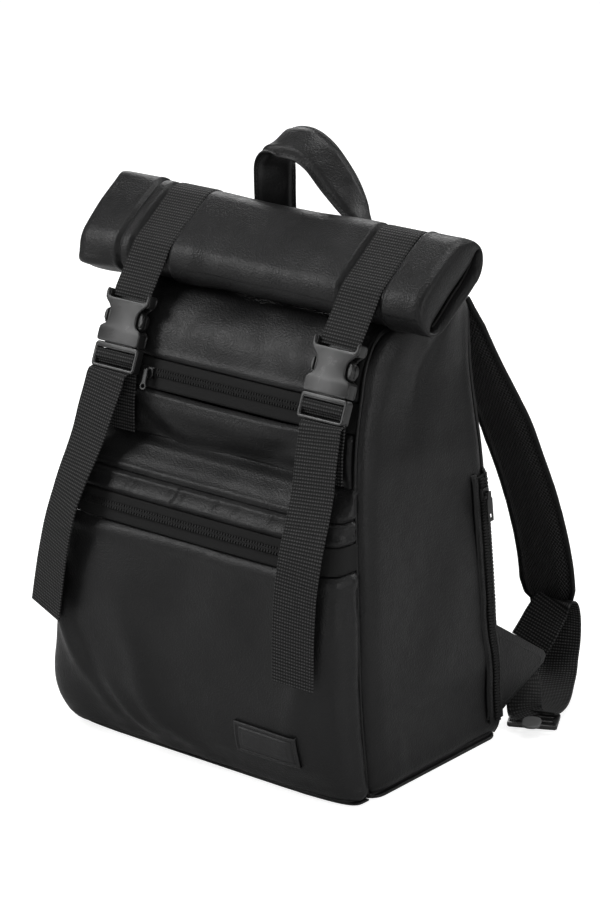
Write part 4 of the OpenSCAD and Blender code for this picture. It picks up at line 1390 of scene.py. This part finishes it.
def top_handle():
    path = smooth_path(HANDLE[:, :3], 14)
    across = unit(smooth_path(HANDLE[:, 3:], 14))
    lengths = arclen(path)
    t = np.linspace(0, lengths[-1], 170)
    path = at_length(path, lengths, t)
    across = unit(at_length(across, lengths, t))
    tangent = unit(np.gradient(path, axis=0))
    up = unit(np.cross(tangent, across))
    across = unit(np.cross(up, tangent))
    a = np.linspace(0, 2 * np.pi, 57)[:-1]
    squareness = .55
    cx = np.sign(np.cos(a)) * np.abs(np.cos(a)) ** squareness
    cy = np.sign(np.sin(a)) * np.abs(np.sin(a)) ** squareness
    # flat stitched margins either side of a padded middle
    pad = interp(np.abs(cx), [0, .62, .74, .82, .9, 1], [1, .95, .62, .34, .3, .3])
    end = t[-1]
    half = interp(t, [0, 20, 60, end - 60, end - 20, end], [15, 16, 16.5, 16.5, 16, 15])
    thick = interp(t, [0, 30, 60, end - 60, end - 30, end], [4.2, 5.6, 6, 6, 5.6, 4.2])
    sections = np.stack([cx * half[:, None], cy * thick[:, None] * pad], -1)
    wrinkles = .5 * noise(rings_at(path, across, up, sections), 11, 91)
    wrinkles += (.9 * np.sin(t / 4.1 + 1.5) * bell(t - 62, 18))[:, None] * ease(-cx) * .6
    sections[..., 1] += wrinkles * np.sign(cy) * pad
    handle = loft("padded_handle", rings_at(path, across, up, sections), LEATHER, None,
                  uv=pairs(arclen(path), arclen(sections[0])) * .001)
    tag(handle, "top_handle")
    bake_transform(handle)
    inner = slice(22, -22)
    for edge, m in (("b", 1), ("f", -1)):
        for face, n in (("o", 1), ("i", -1)):
            row = path + across * (m * half * .86)[:, None] + up * (n * thick * .3)[:, None]
            stitches("handle_stitches_" + edge + face, row[inner], up[inner] * n, "handle",
                     pitch=3.3, radius=.3)


# ------------------------------------------------------------------ shoulder straps
SHOULDER_X = 105.0
# The padded strap's centre line, from the yoke down: y, z.
SHOULDER = [[59.0, 362], [66, 351], [79, 330], [97, 303], [118, 274], [139, 244], [157, 211],
            [175, 177], [191, 140], [203, 103], [209, 66]]


def padded_strap(side, m):
    body = "shoulder_" + side
    flip = [m, 1, 1]
    full_half = 26
    line = smooth_path(SHOULDER, 14)
    lengths = arclen(line)
    end = lengths[-1]
    t = np.linspace(0, end, 200)
    path = at_x(at_length(line, lengths, t), SHOULDER_X)
    across = np.array(X_AXIS)
    out = unit(np.cross(across, unit(np.gradient(path, axis=0))))    # away from the wall
    half = full_half * interp(t, [0, 12, 30, end - 16, end - 4, end],
                              [.86, .9, 1, 1, .86, .62])
    v = np.linspace(-1, 1, 60)
    profile = interp(np.abs(v), [0, .5, .8, .88, .93, 1], [1, .97, .72, .42, .34, .2])
    profile = np.convolve(np.pad(profile, 2, mode="edge"), [.1, .2, .4, .2, .1], "valid")
    thin = interp(t, [0, 10, 40, end - 30, end], [.4, .55, 1, 1, .45])
    flat = path[:, None] + across * (v[None, :, None] * half[:, None, None])
    wrinkles = (.5 * noise(flat, (28, 24, 24), 101 + m) + .35 * noise(flat, (12, 9, 9), 102 + m))
    top = 3.1 * profile * thin[:, None] + wrinkles * profile * .8
    out3 = out[:, None]
    tag(slab("pad_leather_" + side, (flat + out3 * top[..., None]) * flip, LEATHER, body=body,
             inner=(flat - out3 * 1.2) * flip), "shoulder_strap_" + side)
    # the mesh side: quilted cells over foam
    uv = pairs(t, v * full_half)
    low = 5.4 * interp(np.abs(v), [0, .6, .82, .9, 1], [1, .95, .55, .25, .12]) * thin[:, None]
    slant_a, slant_b = uv[..., 0] + 1.5 * uv[..., 1], uv[..., 0] - 1.5 * uv[..., 1]
    cells = np.abs(np.sin(np.pi * slant_a / 9.0) * np.sin(np.pi * slant_b / 9.0))
    low = low + .25 * cells * (np.abs(v) < .86)
    flat = path[:, None] + across * (v[None, :, None] * (half[:, None, None] - 1.4)) - out3 * 1.25
    tag(slab("pad_mesh_" + side, (flat - out3 * low[..., None]) * flip, MESH, body=body,
             inner=flat * flip, uv=uv * .001), "strap_mesh_" + side)
    inner = slice(8, -8)
    for edge, n in (("o", 1), ("i", -1)):
        row = path + across * (n * (half - .3))[:, None] - out * .7
        tag(tube("pad_binding_%s_%s" % (side, edge), row * flip, 2.1, WEB_DARK, body, .06))
        row = path + across * (n * (half * .89))[:, None] + out * (1.25 * thin)[:, None]
        stitches("pad_stitches_%s_%s" % (side, edge), (row * flip)[inner], out[inner] * flip,
                 body, pitch=3.4)


# The strap's foot lies by the floor behind the bag, turned in plan about this origin.
FOOT = np.array([154, 124, 0])
COS, SIN = math.cos(math.radians(27)), math.sin(math.radians(27))


def turned(v):
    v = np.asarray(v, float)
    return np.stack([v[..., 0] * COS - v[..., 1] * SIN, v[..., 0] * SIN + v[..., 1] * COS,
                     v[..., 2]], -1)


def lower_webbing(side, m):
    """The webbing that runs from the ladder lock up to the padded strap."""
    path = smooth_path([
        [0, -12, 7.8], [0, -4, 7.4], [0, 3, 6.2], [0, 14, 3.6], [0, 34, 1.9], [0, 60, 1.9],
        [0, 80, 4.2], [0, 94, 13], [0, 100.5, 28], [0, 101, 44], [0, 97.5, 58],
        [0, 95.5, 68]], 10)
    across = turned(smooth_path([[1, 0, 0]] * 7 + [
        [.98, -.12, 0], [.95, -.3, 0], [.91, -.42, 0], [COS, -SIN, 0], [COS, -SIN, 0]], 10))
    points = turned(path) + FOOT
    # the top end swings round to the middle of the padded strap
    far, z = path[:, 1] > 70, path[:, 2]
    points[:, 0] += (SHOULDER_X - points[:, 0]) * (ease((z - 6) / 40) * far)
    points[:, 1] += interp(z, [10, 44, 68], [0, -4.5, -6]) * far
    flip = [m, 1, 1]
    strap = ribbon("lower_webbing_" + side, points * flip, across * flip, 30, WEB, None)
    tag(strap, "strap_webbing_" + side)
    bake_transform(strap)


def ladder_lock(side, m):
    pitch = math.radians(4)

    def place(v):
        """Laid flat, pitched a little and set on the webbing."""
        x, y, z = v[:, 0], v[:, 2] - 13, -v[:, 1]
        tipped_y = y * math.cos(pitch) - z * math.sin(pitch)
        tipped_z = y * math.sin(pitch) + z * math.cos(pitch)
        return (turned(np.stack([x, tipped_y, tipped_z + 6], 1)) + FOOT) * [m, 1, 1]

    outline = [(-20, -11), (-18.5, -12.6), (18.5, -12.6), (20, -11), (20, 9.6), (17.5, 12.5),
               (-17.5, 12.5), (-20, 9.6)]
    slots = [rounded(33, 4.2, .8, 0, -6.8), rounded(33, 4.2, .8, 0, 1.4)]
    plates = [([outline, *slots], -2.0, 3.8, .9), ([rounded(36, 5.0, 1.4, 0, 9.2)], -3.8, 2.0, .7)]
    body = "lock_" + side
    tag(moulded(body, plates, PLASTIC, body, place), "ladder_lock_" + side)
    tag(moulded("lock_tongue_" + side, [([rounded(15, 19, 6.5, 0, -12.5)], -5.6, 2.6, 1.0)],
                LOCK_PLASTIC, body, place))


def strap_tab(side, m):
    """The sewn triangular tab, standing out behind the side wall."""
    tab_x = 143.4
    # y, z
    outline = [(77.5, 96), (86.6, 22), (91, 19), (146, 42), (149, 47), (146, 52)]
    seam = np.array([(83.5, 84), (90, 27), (94, 25), (141.5, 44.8), (142, 47.2), (140, 49.2),
                     (83.5, 84)])
    tab = moulded("tab_" + side, [([flipped(outline)], 0, 3.2, .8)], SHADED_SIDE_LEATHER, "bag",
                  place_at([m * tab_x, 0, 0], [0, -1, 0], [m, 0, 0], [0, 0, 1]))
    tag(tab, "strap_tab_" + side)
    for face, n in (("o", 1), ("i", -1)):
        path = resample(at_x(seam, m * (tab_x + n * 1.6)), step=1.0)
        stitches("tab_stitches_%s_%s" % (side, face), path, [m * n, 0, 0], pitch=3.1)


def tab_webbings(side, m):
    flip = [m, 1, 1]
    # webbing from the tab down to the lock
    path = smooth_path([[140.4, 126, 44], [141.2, 126, 32], [144, 121, 19], [149, 115, 11.5],
                        [157, 110.5, 9.0]], 10)
    across = unit(smooth_path([[.0, .5, .86], [.1, .7, .6], [.5, .7, .3], [.8, .55, .1],
                               [COS, SIN, 0]], 10))
    tag(ribbon("tab_webbing_" + side, path * flip, across * flip, 28, WEB_DARK, rib=.4))
    # the free end comes back from the lock, rises, folds over and hangs in front of the strap
    path = smooth_path([
        [158, 117, 12], [156, 128, 9.6], [151, 143, 8.6], [144, 158, 9], [136, 173, 11],
        [129, 187, 15.5], [123, 198, 23], [119.5, 206, 34.4], [118.2, 209, 48],
        [118.9, 207, 62], [120.1, 201, 72], [118.4, 195, 70.4], [114.6, 188.5, 59.4],
        [111.8, 183, 49], [107.5, 179, 38.2]])
    across = unit(smooth_path([
        [COS, SIN, 0], [COS, SIN, 0], [.86, .5, 0], [.88, .47, 0], [.9, .42, 0],
        [.93, .36, .0], [.95, .3, 0], [.95, .3, 0], [.95, .25, .05], [.95, .15, .12],
        [.96, .05, .15], [.96, .1, -.08], [.93, .2, -.24], [.91, .26, -.3], [.9, .28, -.33]]))
    tag(ribbon("webbing_free_end_" + side, path * flip, across * flip, 34, WEB))


# ------------------------------------------------------------------ build the bag
side_walls()
front_walls()
front_zip()
POCKET = pocket_face()
pocket_zip()
pocket_top()
label_patch(POCKET)
back_panels()
floors()
piping()
side_zip()
rolled_mouth()
inner_turn()
closure("right", phase=0, tail_shift=[9, 13, 3], tail_twist=[.05, .05, 0],
        tail_lie=[0, 0, 0])
closure("left", phase=.6, tail_shift=[-38, -14, -2], tail_twist=[-.22, -.3, 0],
        tail_lie=[.8, .6, 0])
top_handle()
for side, m in SIDES:
    padded_strap(side, m)
for side, m in SIDES:
    lower_webbing(side, m)
    ladder_lock(side, m)
    strap_tab(side, m)
    tab_webbings(side, m)

# CAD pieces kept as they are, with finishes
for name, material in (("base_board", plastic("base_board_fibre", base=.03, rough=.7)),
                       ("back_foam", woven_cloth("foam_cells", base=.03, scale=700, rough=.9)),
                       ("laptop_divider", LINING)):
    obj = bpy.data.objects.get(name)
    if obj is not None:
        obj.data.materials.clear()
        obj.data.materials.append(material)


# ------------------------------------------------------------------ stage, light, camera (metres)
def paper_floor():
    """A pale floor that glows a little, for the camera only."""
    me = bpy.data.meshes.new("floor")
    me.from_pydata([(-14, -14, 0), (14, -14, 0), (14, 14, 0), (-14, 14, 0)], [],
                   [(0, 1, 2, 3)])
    floor = bpy.data.objects.new("floor", me)
    COLLECTION.objects.link(floor)
    mat = Mat("paper_floor")
    color = mat.ramp(mat.noise(scale=3, detail=2.0), [(.3, .50), (.7, .52)])
    mat.finish(color, .75, specular=.1)
    mat.shader.inputs["Emission Color"].default_value = (1, 1, 1, 1)
    seen = mat.node("ShaderNodeLightPath").outputs["Is Camera Ray"]
    mat.feed(mat.shader.inputs["Emission Strength"], mat.mul(seen, .78))
    me.materials.append(mat.material)
    return floor


def aim(obj, place, target):
    obj.location = place
    direction = Vector(target) - Vector(place)
    obj.rotation_euler = direction.to_track_quat("-Z", "Y").to_euler()
    COLLECTION.objects.link(obj)
    return obj


def area(name, place, target, width, height, watts):
    light = bpy.data.lights.new(name, "AREA")
    light.shape = "RECTANGLE"
    light.size = width
    light.size_y = height
    light.energy = watts
    return aim(bpy.data.objects.new(name, light), place, target)


# name, place, target, width, height, watts
LIGHTS = [
    ("key", (-1.3, -1.2, 1.7), (0, 0, .18), .9, .9, 20),
    ("top", (.0, .35, 2.2), (0, 0, .3), .9, .9, 17),
    ("fill_right", (2.2, -.2, .85), (0, 0, .2), 1.0, 1.4, 13),
    ("front_right", (.85, -2.2, .7), (0, 0, .25), .55, 1.0, 6),
    ("back_left", (-1.5, 1.5, 1.5), (0, .1, .2), 1.0, 1.0, 14),
    ("front_strip", (-1.15, -1.5, .75), (0, 0, .28), .45, 1.0, 6.2),
    ("rim_back", (.9, 2.0, 1.5), (0, 0, .25), 1.1, 1.1, 17),
]


def studio_world():
    """White to the camera, soft grey as light, and a dim upward gradient in reflections."""
    world = bpy.data.worlds.new("studio")
    bpy.context.scene.world = world
    world.use_nodes = True
    nodes = Nodes(world.node_tree)

    def background(strength):
        node = nodes.node("ShaderNodeBackground")
        node.inputs[0].default_value = (1, 1, 1, 1)
        node.inputs[1].default_value = strength
        return node

    def mix(fac, a, b):
        node = nodes.node("ShaderNodeMixShader")
        for socket, value in zip(node.inputs, (fac, a.outputs[0], b.outputs[0])):
            nodes.feed(socket, value)
        return node

    out = nodes.node("ShaderNodeOutputWorld")
    ray = nodes.node("ShaderNodeLightPath")
    light = background(.36)
    reflected = background(1.0)
    geometry = nodes.node("ShaderNodeNewGeometry")
    split = nodes.node("ShaderNodeSeparateXYZ")
    nodes.feed(split.inputs[0], geometry.outputs["Incoming"])
    upward = nodes.mul(split.outputs["Z"], -1.0)
    nodes.feed(reflected.inputs[0], nodes.ramp(upward, [(.0, .02), (.9, .15)]))
    lit = mix(ray.outputs["Is Glossy Ray"], light, reflected)
    shown = mix(ray.outputs["Is Camera Ray"], lit, background(1.1))
    nodes.feed(out.inputs[0], shown.outputs[0])


def make_camera():
    data = bpy.data.cameras.new("camera")
    data.lens = 135.1
    data.sensor_width = 36
    data.sensor_fit = "AUTO"
    data.clip_end = 60
    camera = aim(bpy.data.objects.new("camera", data), (1.580, -1.937, 1.069),
                 (.0115, 0, .230))
    bpy.context.scene.camera = camera
    return camera


floor = paper_floor()
lights = [area(*light) for light in LIGHTS]
studio_world()
camera = make_camera()
bpy.context.scene.view_settings.view_transform = "Standard"
